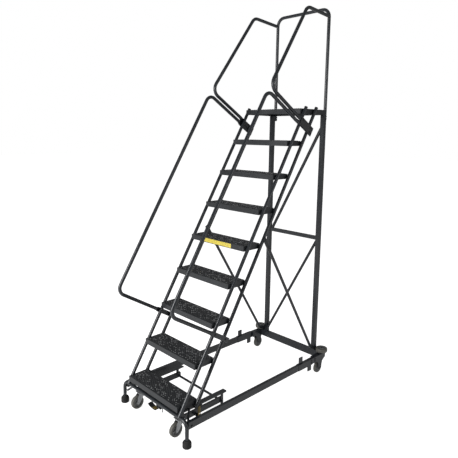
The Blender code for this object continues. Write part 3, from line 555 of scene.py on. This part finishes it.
def block(bm: bmesh.types.BMesh, low: Sequence[float], high: Sequence[float],
          turn: Matrix | None = None, bevel: float = 0.0) -> None:
    """Add a block with softened edges.

    Args:
        bm: the mesh to add to.
        low: its lowest corner, before the turn.
        high: its highest corner.
        turn: a matrix for the finished block.
        bevel: width of its edge bevel.
    """
    made = bmesh.new()
    bmesh.ops.create_cube(made, size=1.0)
    size = [b - a for a, b in zip(low, high)]
    middle = [(a + b) / 2 for a, b in zip(low, high)]
    bmesh.ops.scale(made, vec=size, verts=made.verts)
    bmesh.ops.translate(made, vec=middle, verts=made.verts)
    if bevel:
        bmesh.ops.bevel(made, geom=made.edges[:], offset=bevel, segments=2, profile=0.6, affect="EDGES")
    if turn is not None:
        bmesh.ops.transform(made, matrix=turn, verts=made.verts)
    add_copy(bm, made)


def add_copy(bm: bmesh.types.BMesh, made: bmesh.types.BMesh) -> None:
    """Move the whole of one bmesh into another."""
    spare = bpy.data.meshes.new("spare")
    made.to_mesh(spare)
    made.free()
    bm.from_mesh(spare)
    bpy.data.meshes.remove(spare)


def points_mesh(name: str, places: Iterable[Vector], facings: Iterable[Vector]) -> bpy.types.Mesh:
    """Return loose points, each with the way it faces.

    Args:
        name: the mesh's name.
        places: the points.
        facings: one direction for each.

    Returns:
        The mesh, with the directions in the attribute called facing.
    """
    mesh = bpy.data.meshes.new(name)
    mesh.from_pydata([tuple(p) for p in places], [], [])
    attribute = mesh.attributes.new("facing", "FLOAT_VECTOR", "POINT")
    for item, facing in zip(attribute.data, facings):
        item.vector = facing
    return mesh


# ---------------------------------------------------------------- the ladder's lines
@dataclass(frozen=True)
class Lines:
    """Where the ladder's main lines lie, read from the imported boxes."""

    rise: float
    run: float
    nose: Vector
    stringer_x: float
    tube: float
    front_y: float
    pair: float

    @classmethod
    def read(cls) -> "Lines":
        """Return the lines of the loaded frame."""
        first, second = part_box("step_1"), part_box("step_2")
        front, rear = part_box("stringer_front_right"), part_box("stringer_rear_right")
        rise, run = second[1][2] - first[1][2], second[0][1] - first[0][1]
        radius = (front[1][0] - front[0][0]) / 2
        slope = math.atan2(rise, run)
        # the lowest point of the foot's cut ellipse lies one half-width in front of the axis
        half = radius / math.sin(slope)
        front_y = front[0][1] + half + (first[1][2] - front[0][2]) * run / rise
        rear_y = rear[0][1] + half + (first[1][2] - rear[0][2]) * run / rise
        nose = Vector((0, first[0][1], first[1][2]))
        return cls(rise, run, nose, (front[0][0] + front[1][0]) / 2, radius, front_y, rear_y - front_y)

    @property
    def slope(self) -> float:
        """The stringers' angle above the floor."""
        return math.atan2(self.rise, self.run)

    @property
    def along(self) -> Vector:
        """The direction up the stringers."""
        return Vector((0, math.cos(self.slope), math.sin(self.slope)))

    @property
    def outward(self) -> Vector:
        """The direction square to the stringers, towards the climber."""
        return Vector((0, -math.sin(self.slope), math.cos(self.slope)))

    @property
    def pair_square(self) -> float:
        """The distance between a front and a rear stringer, square to both."""
        return self.pair * math.sin(self.slope)

    def on(self, along: float, outward: float, x: float = 0.0) -> Vector:
        """Return a point given along the front stringer and out from it.

        Args:
            along: distance up the stringer from the first tread's top.
            outward: distance from its axis towards the climber.
            x: distance to the right of the middle.

        Returns:
            The point.
        """
        foot = Vector((x, self.front_y, self.nose.z))
        return foot + self.along * along + self.outward * outward


# ---------------------------------------------------------------- sub-assemblies
@dataclass
class DressedSolids:
    """The CAD nodes that keep their shape: better finishes and smooth round faces."""

    palette: Palette
    crease: float = 36.0
    weld: float = 1e-5
    blackened: tuple[str, ...] = ("release_pedal",)

    def smoothing(self) -> bpy.types.NodeTree:
        """Return a tree that merges the loose triangles and shades round faces smooth."""
        graph = GeometryTree("soft_rounds")
        merged = graph.node("GeometryNodeMergeByDistance", {},
                            {"Geometry": graph.source.outputs[0], "Distance": self.weld})
        angle = graph.node("GeometryNodeInputMeshEdgeAngle", output="Unsigned Angle")
        sharp = graph.node("FunctionNodeCompare", {"data_type": "FLOAT", "operation": "GREATER_THAN"},
                           {0: angle, 1: math.radians(self.crease)})
        faces = graph.node("GeometryNodeSetShadeSmooth", {"domain": "FACE"}, {"Geometry": merged})
        flat = graph.node("FunctionNodeBooleanMath", {"operation": "NOT"}, {0: sharp})
        edges = graph.node("GeometryNodeSetShadeSmooth", {"domain": "EDGE"},
                           {"Geometry": faces, "Shade Smooth": flat})
        graph.tree.links.new(edges, graph.sink.inputs[0])
        return graph.tree

    def make(self, frame: dict[str, Any]) -> None:
        """Dress every CAD node by its slot.
        """
        tree = self.smoothing()
        slots = {item["node"]: Slot(item["material_slot"]) for item in frame["record"]["subparts"]}
        for name, node in frame["nodes"].items():
            finish = self.palette.black if name in self.blackened else self.palette.for_slot(slots[name])
            for holder in node.material_slots:
                holder.material = finish
            if not node.material_slots:
                node.data.materials.append(finish)
            modifier = node.modifiers.new("soft_rounds", "NODES")
            modifier.node_group = tree
            LOG.info("dressed %s in %s", name, finish.name)


@dataclass
class GripTreads:
    """Punched grip buttons on each tread, and the weld beads at the tread ends."""

    palette: Palette
    lines: Lines
    pitch: float = 0.0205
    row_pitch: float = 0.0185
    margin: float = 0.014
    button_radius: float = 0.0058
    button_height: float = 0.0024
    sides: int = 10
    bead: float = 0.0024
    weld_height: float = 0.036
    weld_start: float = 0.002
    flank: float = 0.42
    seed: int = 7
    # Share of button crowns given the bright crown steel, which is rubbed metal and painted highlight at
    # once.
    worn_and_highlight_share: float = 0.25

    def button(self) -> bpy.types.Object:
        """Return one raised crown with a hole in it, its top ring marked for the bright crown steel, which is
        part real rubbing to bare metal and part painted highlight.
        """
        r, h = self.button_radius, self.button_height
        profile = [(r, 0.0), (r * 0.80, h * 0.75), (r * 0.66, h), (r * 0.54, h), (r * 0.46, h * 0.55),
                   (r * 0.40, 0.0002), (0.0, 0.0002), (0.0, 0.0)]
        bm = bmesh.new()
        lathe(bm, profile, Z_AXIS, Vector(), self.sides)
        layer = bm.faces.layers.float.new("crown")
        bm.normal_update()
        for face in bm.faces:
            middle = face.calc_center_median()
            face[layer] = 1.0 if middle.z > h * 0.80 and middle.xy.length > r * 0.5 else 0.0
        return from_bmesh("grip_button", bm, smooth_under=20.0)

    def tree(self) -> GeometryTree:
        """Return the tree that lays buttons out in two staggered grids."""
        graph = GeometryTree("grip_rows")
        width, depth = graph.take("Width", "NodeSocketFloat"), graph.take("Depth", "NodeSocketFloat")
        columns, rows = graph.take("Columns", "NodeSocketInt"), graph.take("Rows", "NodeSocketInt")
        centre, shift = graph.take("Centre", "NodeSocketVector"), graph.take("Stagger", "NodeSocketVector")
        button, seed = graph.take("Button", "NodeSocketObject"), graph.take("Seed", "NodeSocketInt")
        finish, worn_and_highlight = graph.take("Finish", "NodeSocketMaterial"), graph.take("Worn And Highlight", "NodeSocketMaterial")
        share = graph.take("Worn And Highlight Share", "NodeSocketFloat")
        grid = graph.node("GeometryNodeMeshGrid", {}, {"Size X": width, "Size Y": depth,
                                                       "Vertices X": columns, "Vertices Y": rows})
        even = graph.node("GeometryNodeTransform", {}, {"Geometry": grid, "Translation": centre})
        odd = graph.node("GeometryNodeTransform", {}, {"Geometry": even, "Translation": shift})
        both = graph.node("GeometryNodeJoinGeometry", {}, {0: [even, odd]})
        source = graph.node("GeometryNodeObjectInfo", {}, {"Object": button}, "Geometry")
        spread = graph.node("GeometryNodeInstanceOnPoints", {}, {"Points": both, "Instance": source})
        # Pick a random share of crown tops for the bright steel: real rubbing and painted highlights
        # together.
        chance = graph.node("FunctionNodeRandomValue", {"data_type": "FLOAT"}, {"Seed": seed}, 1)
        marked = graph.node("GeometryNodeStoreNamedAttribute", {"data_type": "FLOAT", "domain": "INSTANCE"},
                            {"Geometry": spread, "Name": "wear", "Value": chance})
        real = graph.node("GeometryNodeRealizeInstances", {}, {"Geometry": marked})
        plain = graph.node("GeometryNodeSetMaterial", {}, {"Geometry": real, "Material": finish})
        mark = graph.node("GeometryNodeInputNamedAttribute", {"data_type": "FLOAT"}, {"Name": "crown"})
        crowned = graph.node("FunctionNodeCompare", {"data_type": "FLOAT", "operation": "GREATER_THAN"},
                             {0: mark, 1: 0.5})
        wear = graph.node("GeometryNodeInputNamedAttribute", {"data_type": "FLOAT"}, {"Name": "wear"})
        rubbed = graph.node("FunctionNodeCompare", {"data_type": "FLOAT", "operation": "LESS_THAN"},
                            {0: wear, 1: share})
        chosen = graph.node("FunctionNodeBooleanMath", {"operation": "AND"}, {0: crowned, 1: rubbed})
        dressed = graph.node("GeometryNodeSetMaterial", {},
                             {"Geometry": plain, "Selection": chosen, "Material": worn_and_highlight})
        graph.tree.links.new(dressed, graph.sink.inputs[0])
        return graph

    def make(self, treads: Sequence[str]) -> None:
        """Make the buttons of every tread.

        Args:
            treads: the tread nodes' names.
        """
        graph, button = self.tree(), self.button()
        for name in treads:
            low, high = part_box(name)
            wide = high[0] - low[0] - 2 * self.margin - self.pitch / 2
            deep = high[1] - low[1] - 2 * self.margin - self.row_pitch / 2
            columns, rows = int(wide / self.pitch) + 1, int(deep / self.row_pitch) + 1
            centre = ((low[0] + high[0]) / 2 - self.pitch / 4, (low[1] + high[1]) / 2 - self.row_pitch / 4,
                      high[2] + 0.00005)
            carrier = bpy.data.meshes.new(f"grip_{name}")
            values = {"Width": (columns - 1) * self.pitch, "Depth": (rows - 1) * self.row_pitch,
                      "Columns": columns, "Rows": rows, "Centre": centre,
                      "Stagger": (self.pitch / 2, self.row_pitch / 2, 0.0), "Button": button,
                      "Finish": self.palette.tread, "Worn And Highlight": self.palette.crown,
                      "Seed": self.seed + len(name) + int(low[2] * 100), "Worn And Highlight Share": self.worn_and_highlight_share}
            piece = graph.bake(f"grip_{name}", carrier, values)
            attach(piece, "ladder")
            LOG.info("%s: %d by %d buttons, twice", piece.name, columns, rows)
        bpy.data.objects.remove(button)
        self.welds(treads)

    def welds(self, treads: Sequence[str]) -> None:
        """Lay a row of small weld ripples down each side of every tread and stringer joint.

        Args:
            treads: the tread nodes' names.
        """
        lines, places, spacing = self.lines, [], self.bead * 0.9
        for name in treads:
            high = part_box(name)[1]
            for _, sign in SIDES:
                x = sign * (high[0] + 0.0006)
                for base in (lines.front_y, lines.front_y + lines.pair):
                    for flank in (-self.flank, self.flank):
                        for k in range(int(self.weld_height / spacing)):
                            z = high[2] - self.weld_start - k * spacing
                            y = base + (z - lines.nose.z) * lines.run / lines.rise + flank * lines.tube
                            places.append(Vector((x, y, z)))
        ripple = bmesh.new()
        bmesh.ops.create_icosphere(ripple, subdivisions=1, radius=self.bead)
        seed = from_bmesh("ripple", ripple, smooth_under=180.0)
        piece = FastenerTree().graph.bake("tread_welds", points_mesh("welds", places, [X_AXIS] * len(places)),
                                          {"Part": seed, "Finish": self.palette.frame})
        bpy.data.objects.remove(seed)
        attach(piece, "ladder")
        LOG.info("tread_welds: %d ripples", len(places))


class FastenerTree:
    """A tree that stands one part on every point, facing the way the point faces."""

    def __init__(self) -> None:
        """Build the tree."""
        graph = GeometryTree("stand_parts")
        part, finish = graph.take("Part", "NodeSocketObject"), graph.take("Finish", "NodeSocketMaterial")
        facing = graph.node("GeometryNodeInputNamedAttribute", {"data_type": "FLOAT_VECTOR"},
                            {"Name": "facing"})
        turn = graph.node("FunctionNodeAlignRotationToVector", {"axis": "Z"}, {"Vector": facing})
        source = graph.node("GeometryNodeObjectInfo", {}, {"Object": part}, "Geometry")
        spread = graph.node("GeometryNodeInstanceOnPoints", {},
                            {"Points": graph.source.outputs[0], "Instance": source, "Rotation": turn})
        graph.give(spread, finish)
        self.graph = graph


@dataclass
class Fasteners:
    """Hex bolts with washers wherever a flat end or a bracket is bolted on."""

    palette: Palette
    lines: Lines
    washer: float = 0.0085
    head: float = 0.0062
    air: float = 0.0002
    flat: float = 0.0092
    lap: float = 0.022
    handrail_ends: tuple[float, float] = (0.509, 2.232)
    guard_start: float = 2.270
    brace_top_drop: float = 0.0245
    brace_end_height: float = 0.199
    brace_end_face: float = 0.0098
    rail_drops: tuple[float, float] = (0.011, 0.030)
    base_front: tuple[float, float] = (0.028, 0.016)
    base_heights: tuple[float, float] = (0.014, 0.034)
    sleeve_wall: float = 0.0022
    sleeve_inset: float = 0.014
    bracket_inset: float = 0.012
    places: list[Vector] = field(default_factory=list)
    facings: list[Vector] = field(default_factory=list)

    def bolt(self) -> bpy.types.Object:
        """Return one hex head on its washer."""
        bm = bmesh.new()
        washer, head = self.washer, self.head
        lathe(bm, [(0, 0), (washer, 0), (washer, 0.0012), (washer - 0.0006, 0.0016), (0, 0.0016)],
              Z_AXIS, Vector(), 16)
        lathe(bm, [(0, 0.0014), (head, 0.0014), (head, 0.0052), (head * 0.84, 0.0062), (0, 0.0062)],
              Z_AXIS, Vector(), 6)
        return from_bmesh("hex_bolt", bm, smooth_under=30.0)

    def put(self, place: Vector, facing: Vector) -> None:
        """Add one bolt."""
        self.places.append(place)
        self.facings.append(facing)

    def outer(self, node: str, sign: int) -> float:
        """Return the x of a node's outer face, on the side of this sign."""
        low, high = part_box(node)
        return high[0] if sign > 0 else low[0]

    def bolt_rails(self, side: str, sign: int) -> None:
        """Bolt the flat ends of one handrail and one guard rail to the stringers."""
        lines, square, way = self.lines, self.lines.pair_square, X_AXIS * sign
        face = self.outer(f"handrail_{side}", sign) + sign * self.air
        for outward in (0.0, -square):
            self.put(lines.on(self.handrail_ends[0], outward, face), way)
        for along in self.handrail_ends[1:] + (self.guard_start,):
            self.put(lines.on(along, -square - self.lap, face), way)
            self.put(lines.on(along, -square - self.lap, face - sign * self.flat), -way)
        inner = sign * (lines.stringer_x - lines.tube - 0.0003)
        self.put(lines.on(self.handrail_ends[0], 0.0, inner), -way)

    def bolt_braces(self, side: str, sign: int) -> None:
        """Bolt both ends of one side brace."""
        lines, way, post = self.lines, X_AXIS * sign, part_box(f"post_{side}")
        top_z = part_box(f"side_brace_{side}")[1][2] - self.brace_top_drop
        top_y = lines.front_y + lines.pair + (top_z - lines.nose.z) * lines.run / lines.rise
        self.put(Vector((sign * (lines.stringer_x + lines.tube + 0.0095), top_y, top_z)), way)
        end_x = self.outer(f"post_{side}", sign) + sign * self.brace_end_face
        self.put(Vector((end_x, (post[0][1] + post[1][1]) / 2, self.brace_end_height)), way)

    def bolt_rear(self, side: str, sign: int) -> None:
        """Bolt one leg of the rear rail to its post."""
        rail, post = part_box("rear_rail"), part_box(f"post_{side}")
        leg_x = sign * (rail[1][0] - self.lines.tube)
        for drop in self.rail_drops:
            z = post[1][2] - drop
            self.put(Vector((leg_x, rail[1][1] + self.air, z)), Y_AXIS)
            self.put(Vector(((post[0][0] + post[1][0]) / 2, post[0][1] - self.air, z)), -Y_AXIS)

    def bolt_base(self, side: str, sign: int) -> None:
        """Bolt the front tube, the sleeve and the wheel bracket to one base rail."""
        way, base = X_AXIS * sign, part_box(f"base_rail_{side}")
        face, (front_y, front_z) = self.outer(f"base_rail_{side}", sign) + sign * self.air, self.base_front
        self.put(Vector((face, base[0][1] + front_y, base[0][2] + front_z)), way)
        sleeve_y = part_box(f"rail_sleeve_{side}")[1][1] - self.sleeve_inset
        bracket_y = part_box(f"rear_caster_bracket_{side}")[0][1] + self.bracket_inset
        for height in self.base_heights:
            z = base[0][2] + height
            self.put(Vector((face + sign * self.sleeve_wall, sleeve_y, z)), way)
            self.put(Vector((face, bracket_y, z)), way)

    def make(self) -> None:
        """Stand a bolt on every place listed."""
        for side, sign in SIDES:
            for group in (self.bolt_rails, self.bolt_braces, self.bolt_rear, self.bolt_base):
                group(side, sign)
        bolt = self.bolt()
        carrier = points_mesh("bolt_places", self.places, self.facings)
        values = {"Part": bolt, "Finish": self.palette.black}
        piece = FastenerTree().graph.bake("frame_bolts", carrier, values)
        bpy.data.objects.remove(bolt)
        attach(piece, "ladder")
        LOG.info("frame_bolts: %d bolts", len(self.places))


@dataclass
class ClampPlates:
    """Black plates over the bolted ends of each handrail and guard rail."""

    palette: Palette
    lines: Lines
    ends: tuple[float, float] = (2.232, 2.270)
    overhang: float = 0.014
    reach: tuple[float, float] = (-0.128, 0.022)
    thickness: float = 0.005
    bevel: float = 0.0016
    washer_outline: tuple[tuple[float, float], ...] = ((0, 0), (0.0085, 0), (0.0085, 0.0016), (0, 0.0016))
    nut_outline: tuple[tuple[float, float], ...] = (
        (0, 0.0015), (0.0062, 0.0015), (0.0062, 0.0056), (0.0052, 0.0066), (0, 0.0066))

    def make(self) -> None:
        """Make both plates with their nuts."""
        low_along, high_along = self.ends[0] - self.overhang, self.ends[1] + self.overhang
        for side, sign in SIDES:
            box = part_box(f"handrail_{side}")
            face = abs(box[1][0] if sign > 0 else box[0][0]) + 0.0003
            corner = self.lines.on(0, 0)
            bm = bmesh.new()
            turn = Matrix((X_AXIS, self.lines.along, self.lines.outward)).transposed().to_4x4()
            turn.translation = corner
            xs = sorted((sign * face, sign * (face + self.thickness)))
            block(bm, (xs[0], low_along, self.reach[0]), (xs[1], high_along, self.reach[1]), turn, self.bevel)
            for along in self.ends:
                for outward in (0.0, -self.lines.pair_square):
                    spot = self.lines.on(along, outward, sign * (face + self.thickness))
                    lathe(bm, self.washer_outline, X_AXIS * sign, spot, 18)
                    lathe(bm, self.nut_outline, X_AXIS * sign, spot, 6)
            piece = from_bmesh(f"clamp_plate_{side}", bm, self.palette.black)
            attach(piece, "ladder")
            LOG.info("made %s", piece.name)


class WheelKind(Enum):
    """The three kinds of wheel: node stem, body stem, and whether it lies flat."""

    FRONT = ("front_wheel", "front_wheel", False)
    REAR = ("rear_wheel", "rear_wheel", False)
    BUMPER = ("bumper_wheel", "bumper", True)


@dataclass
class Wheels:
    """Moulded wheels: a crowned tyre on a hub with six ribs behind its rim."""

    palette: Palette
    sides: int = 48
    ribs: int = 6
    bore: float = 0.0054
    rim_share: float = 0.74
    boss_share: float = 0.30
    hub_proud: float = 0.00175
    flat_inset: float = 0.0016

    def tyre_outline(self, radius: float, rim: float, half: float) -> list[tuple[float, float]]:
        """Return the tyre's closed outline, crowned, with softened edges."""
        crown = [(rim, half), (radius - 0.0045, half), (radius - 0.0018, half - 0.0014),
                 (radius - 0.0004, half * 0.55), (radius, half * 0.16), (radius, -half * 0.16)]
        mirrored = [(r, -along) for r, along in reversed(crown[:4])]
        return crown + mirrored

    def hub_outline(self, rim: float, boss: float, half: float) -> list[tuple[float, float]]:
        """Return the hub's closed outline, with a boss, a sunk web and a rim on both sides."""
        proud, web = half + 0.0016, half * 0.42
        right = [(self.bore, proud), (boss - 0.0012, proud), (boss, proud - 0.0012), (boss + 0.0012, web),
                 (rim - 0.0045, web), (rim - 0.0032, half - 0.0012), (rim - 0.0002, half - 0.0006)]
        return right + [(r, -along) for r, along in reversed(right)]

    def make(self) -> None:
        """Make every wheel in place of its CAD node."""
        for kind in WheelKind:
            stem, body, flat = kind.value
            for side, _ in SIDES:
                node, owner = f"{stem}_{side}", f"{side}_{body}"
                low, high = (Vector(c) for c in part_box(node))
                centre, size = (low + high) / 2, high - low
                axis = Z_AXIS if flat else X_AXIS
                radius, width = (size.x / 2, size.z) if flat else (size.z / 2, size.x)
                half = width / 2 if flat else width / 2 - self.hub_proud
                rim, boss = radius * self.rim_share, radius * self.boss_share
                tyre_mesh, hub_mesh = bmesh.new(), bmesh.new()
                lathe(tyre_mesh, self.tyre_outline(radius, rim, half), axis, centre, self.sides)
                proud_half = half - self.flat_inset if flat else half
                lathe(hub_mesh, self.hub_outline(rim, boss, proud_half), axis, centre, self.sides)
                turn = Matrix.Translation(centre) @ axis.to_track_quat("Z", "Y").to_matrix().to_4x4()
                for k in range(self.ribs):
                    spin = turn @ Matrix.Rotation(2 * math.pi * k / self.ribs, 4, "Z")
                    block(hub_mesh, (boss - 0.001, -0.0015, -proud_half + 0.002),
                          (rim - 0.003, 0.0015, proud_half - 0.002), spin, 0.0006)
                tyre = from_bmesh(f"tyre_{stem}_{side}", tyre_mesh, self.palette.tyre, 35.0)
                hub = from_bmesh(f"hub_{stem}_{side}", hub_mesh, self.palette.hub, 35.0)
                for piece in (tyre, hub):
                    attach(piece, owner)
                    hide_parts(node)
                LOG.info("made %s and %s", tyre.name, hub.name)


@dataclass
class RubberFeet:
    """Ribbed rubber feet pushed over the front legs."""

    palette: Palette
    ribs: int = 3
    depth: float = 0.0016
    bore: float = 0.0139
    bore_floor: float = 0.0213

    def make(self) -> None:
        """Make both feet in place of their CAD nodes."""
        for side, _ in SIDES:
            node = f"foot_{side}"
            low, high = (Vector(c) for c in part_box(node))
            radius, height = (high.x - low.x) / 2, high.z - low.z
            bore, shoulder = self.bore, height * 0.70
            outline = [(0, 0.0), (radius - 0.006, 0.0), (radius - 0.0015, 0.0012), (radius, 0.005)]
            band = (shoulder - 0.010) / self.ribs
            for k in range(self.ribs):
                start = 0.009 + k * band
                outline += [(radius, start), (radius - self.depth, start + 0.0014),
                            (radius - self.depth, start + 0.0030), (radius, start + 0.0044)]
            outline += [(radius, shoulder), (radius - 0.003, height * 0.78), (bore + 0.0075, height * 0.84),
                        (bore + 0.006, height - 0.001), (bore + 0.005, height), (bore, height),
                        (bore, self.bore_floor), (0, self.bore_floor)]
            bm = bmesh.new()
            lathe(bm, outline, Z_AXIS, Vector(((low.x + high.x) / 2, (low.y + high.y) / 2, low.z)), 48)
            piece = from_bmesh(f"ribbed_foot_{side}", bm, self.palette.foot, 50.0)
            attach(piece, "ladder")
            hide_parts(node)
            LOG.info("made %s", piece.name)


@dataclass
class LockSprings:
    """Coil springs that push the caster frame down."""

    palette: Palette
    wire: float = 0.0016
    turns: float = 10.0

    def tree(self) -> GeometryTree:
        """Return the tree that winds one spring."""
        graph = GeometryTree("coil")
        radius, height = graph.take("Radius", "NodeSocketFloat"), graph.take("Height", "NodeSocketFloat")
        turns, wire = graph.take("Turns", "NodeSocketFloat"), graph.take("Wire", "NodeSocketFloat")
        base, finish = graph.take("Base", "NodeSocketVector"), graph.take("Finish", "NodeSocketMaterial")
        path = graph.node("GeometryNodeCurveSpiral", {},
                          {"Resolution": 20, "Rotations": turns, "Start Radius": radius,
                           "End Radius": radius, "Height": height})
        round_wire = graph.node("GeometryNodeCurvePrimitiveCircle", {}, {"Resolution": 8, "Radius": wire})
        coil = graph.node("GeometryNodeCurveToMesh", {}, {"Curve": path, "Profile Curve": round_wire,
                                                          "Fill Caps": True})
        moved = graph.node("GeometryNodeTransform", {}, {"Geometry": coil, "Translation": base})
        graph.give(moved, finish)
        return graph

    def make(self) -> None:
        """Make both springs in place of their CAD nodes, stretching between their seats."""
        graph = self.tree()
        for side, _ in SIDES:
            node = f"lock_spring_{side}"
            low, high = (Vector(c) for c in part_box(node))
            middle, radius = (low + high) / 2, (high.x - low.x) / 2 - self.wire
            base, tall = (middle.x, middle.y, low.z + self.wire), high.z - low.z - 2 * self.wire - 0.0002
            values = {"Radius": radius, "Height": tall, "Turns": self.turns, "Wire": self.wire, "Base": base,
                      "Finish": self.palette.yellow}
            piece = graph.bake(f"coil_spring_{side}", bpy.data.meshes.new(f"coil_{side}"), values)
            for face in piece.data.polygons:
                face.use_smooth = True
            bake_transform(piece)
            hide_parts(node)
            LOG.info("made %s", piece.name)


@dataclass
class PedalTrim:
    """A yellow pad with grip ribs on the flat end of the release pedal."""

    palette: Palette
    ribs: int = 4
    inset: float = 0.0035
    flat_share: float = 0.60
    strip_width: float = 0.080
    strip_depth: float = 0.034
    strip_top: float = 0.0130
    thickness: float = 0.0016

    def make(self) -> None:
        """Lay the pad on the strip, with its ribs running across."""
        low = Vector(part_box("release_pedal")[0])
        top = low.z + self.strip_top
        left, right = low.x + self.strip_width * self.flat_share, low.x + self.strip_width
        front, back = low.y + self.inset, low.y + self.strip_depth
        bm = bmesh.new()
        block(bm, (left, front, top - 0.0003), (right, back, top + self.thickness), None, 0.0006)
        step = (back - front) / self.ribs
        for k in range(self.ribs):
            y = front + (k + 0.5) * step
            block(bm, (left + 0.001, y - 0.0014, top + self.thickness - 0.0003),
                  (right - 0.001, y + 0.0014, top + self.thickness + 0.0012), None, 0.0005)
        piece = from_bmesh("pedal_grip", bm, self.palette.yellow)
        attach(piece, "pedal")
        LOG.info("made %s with %d ribs", piece.name, self.ribs)


@dataclass
class Notice:
    """A plain yellow notice on one tread's front flange."""

    tread: str = "step_5"
    left: float = -0.136
    right: float = 0.163
    margin: float = 0.0045
    thickness: float = 0.0006

    def make(self) -> None:
        """Make the notice."""
        low, high = (Vector(c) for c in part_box(self.tread))
        bottom, top = low.z + self.margin, high.z - self.margin
        bm = bmesh.new()
        face = low.y - 0.0001
        block(bm, (self.left, face - self.thickness, bottom), (self.right, face, top), None, 0.0002)
        finish = NoticeVinyl("notice_vinyl", self.left, self.right, bottom, top).build()
        piece = from_bmesh("notice", bm, finish)
        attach(piece, "ladder")
        LOG.info("made %s", piece.name)


@dataclass
class Studio:
    """The floor, the soft lights and the camera."""

    azimuth: float = 46.2807
    pitch: float = 8.5709
    roll: float = 0.7403
    lens: float = 37.756
    shift: tuple[float, float] = (0.01426, -0.04957)
    eye: tuple[float, float, float] = (2.6554, -2.6379, 2.0795)
    ambient: float = 0.27

    def camera(self) -> None:
        """Set the camera up from its angles."""
        a, e, r = (math.radians(v) for v in (self.azimuth, self.pitch, self.roll))
        forward = -Vector((math.sin(a) * math.cos(e), -math.cos(a) * math.cos(e), math.sin(e)))
        level = Vector((math.cos(a), math.sin(a), 0.0))
        upright = level.cross(forward)
        across = level * math.cos(r) + upright * math.sin(r)
        above = upright * math.cos(r) - level * math.sin(r)
        data = bpy.data.cameras.new("camera")
        data.lens, data.sensor_width = self.lens, 36.0
        data.shift_x, data.shift_y = self.shift
        camera = bpy.data.objects.new("camera", data)
        bpy.context.scene.collection.objects.link(camera)
        turn = Matrix((across, above, -forward)).transposed().to_4x4()
        turn.translation = Vector(self.eye)
        camera.matrix_world = turn
        bpy.context.scene.camera = camera

    def light(self, name: str, place: Sequence[float], aim: Sequence[float], size: float,
              power: float) -> None:
        """Add one soft area light.

        Args:
            name: its name.
            place: where it hangs.
            aim: the point it faces.
            size: its side.
            power: its power in watts.
        """
        data = bpy.data.lights.new(name, "AREA")
        data.shape, data.size, data.energy = "SQUARE", size, power
        lamp = bpy.data.objects.new(name, data)
        bpy.context.scene.collection.objects.link(lamp)
        lamp.location = Vector(place)
        lamp.rotation_mode = "QUATERNION"
        lamp.rotation_quaternion = (Vector(aim) - Vector(place)).to_track_quat("-Z", "Y")

    def floor(self) -> None:
        """Lay a wide pale floor."""
        bm = bmesh.new()
        bmesh.ops.create_grid(bm, x_segments=1, y_segments=1, size=40.0)
        graph = MaterialGraph("pale_floor")
        grain = graph.noise(graph.place(), 3.0)
        seen = graph.node("ShaderNodeLightPath", output="Is Camera Ray")
        glow = graph.blend(seen, (0.20, 0.20, 0.20), (0.84, 0.84, 0.84))
        finish = graph.finish(Base_Color=graph.blend(grain * 0.2, (0.90, 0.90, 0.90), (0.86, 0.86, 0.86)),
                              Roughness=0.9, Emission_Color=glow, Emission_Strength=1.0)
        piece = from_bmesh("floor", bm, finish)

    def make(self) -> None:
        """Set the whole studio up."""
        world = bpy.data.worlds.new("studio")
        world.use_nodes = True
        tree = world.node_tree
        backdrop = tree.nodes["Background"]
        backdrop.inputs["Color"].default_value = (1.0, 1.0, 1.0, 1.0)
        rays = tree.nodes.new("ShaderNodeLightPath")
        strength = tree.nodes.new("ShaderNodeMapRange")
        strength.inputs["To Min"].default_value = self.ambient
        strength.inputs["To Max"].default_value = 1.0
        tree.links.new(rays.outputs["Is Camera Ray"], strength.inputs["Value"])
        tree.links.new(strength.outputs[0], backdrop.inputs["Strength"])
        bpy.context.scene.world = world
        bpy.context.scene.view_settings.view_transform = "Standard"
        self.floor()
        self.light("key", (-0.8, -6.0, 2.6), (0.0, 0.0, 1.3), 3.0, 380.0)
        self.light("fill", (5.5, 0.8, 3.0), (0.0, 0.2, 1.2), 2.5, 60.0)
        self.camera()
        LOG.info("studio ready")


def main() -> None:
    """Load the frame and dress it."""
    logging.basicConfig(level=logging.INFO, format="%(name)s: %(message)s")
    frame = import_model()
    palette, lines = Palette(), Lines.read()
    treads = [name for name in sorted(frame["nodes"]) if name.startswith("step_") and name[5:].isdigit()]
    treads.append("platform")
    DressedSolids(palette).make(frame)
    GripTreads(palette, lines).make(treads)
    Fasteners(palette, lines).make()
    ClampPlates(palette, lines).make()
    Wheels(palette).make()
    RubberFeet(palette).make()
    LockSprings(palette).make()
    PedalTrim(palette).make()
    Notice().make()
    Studio().make()


if __name__ == "__main__":
    main()
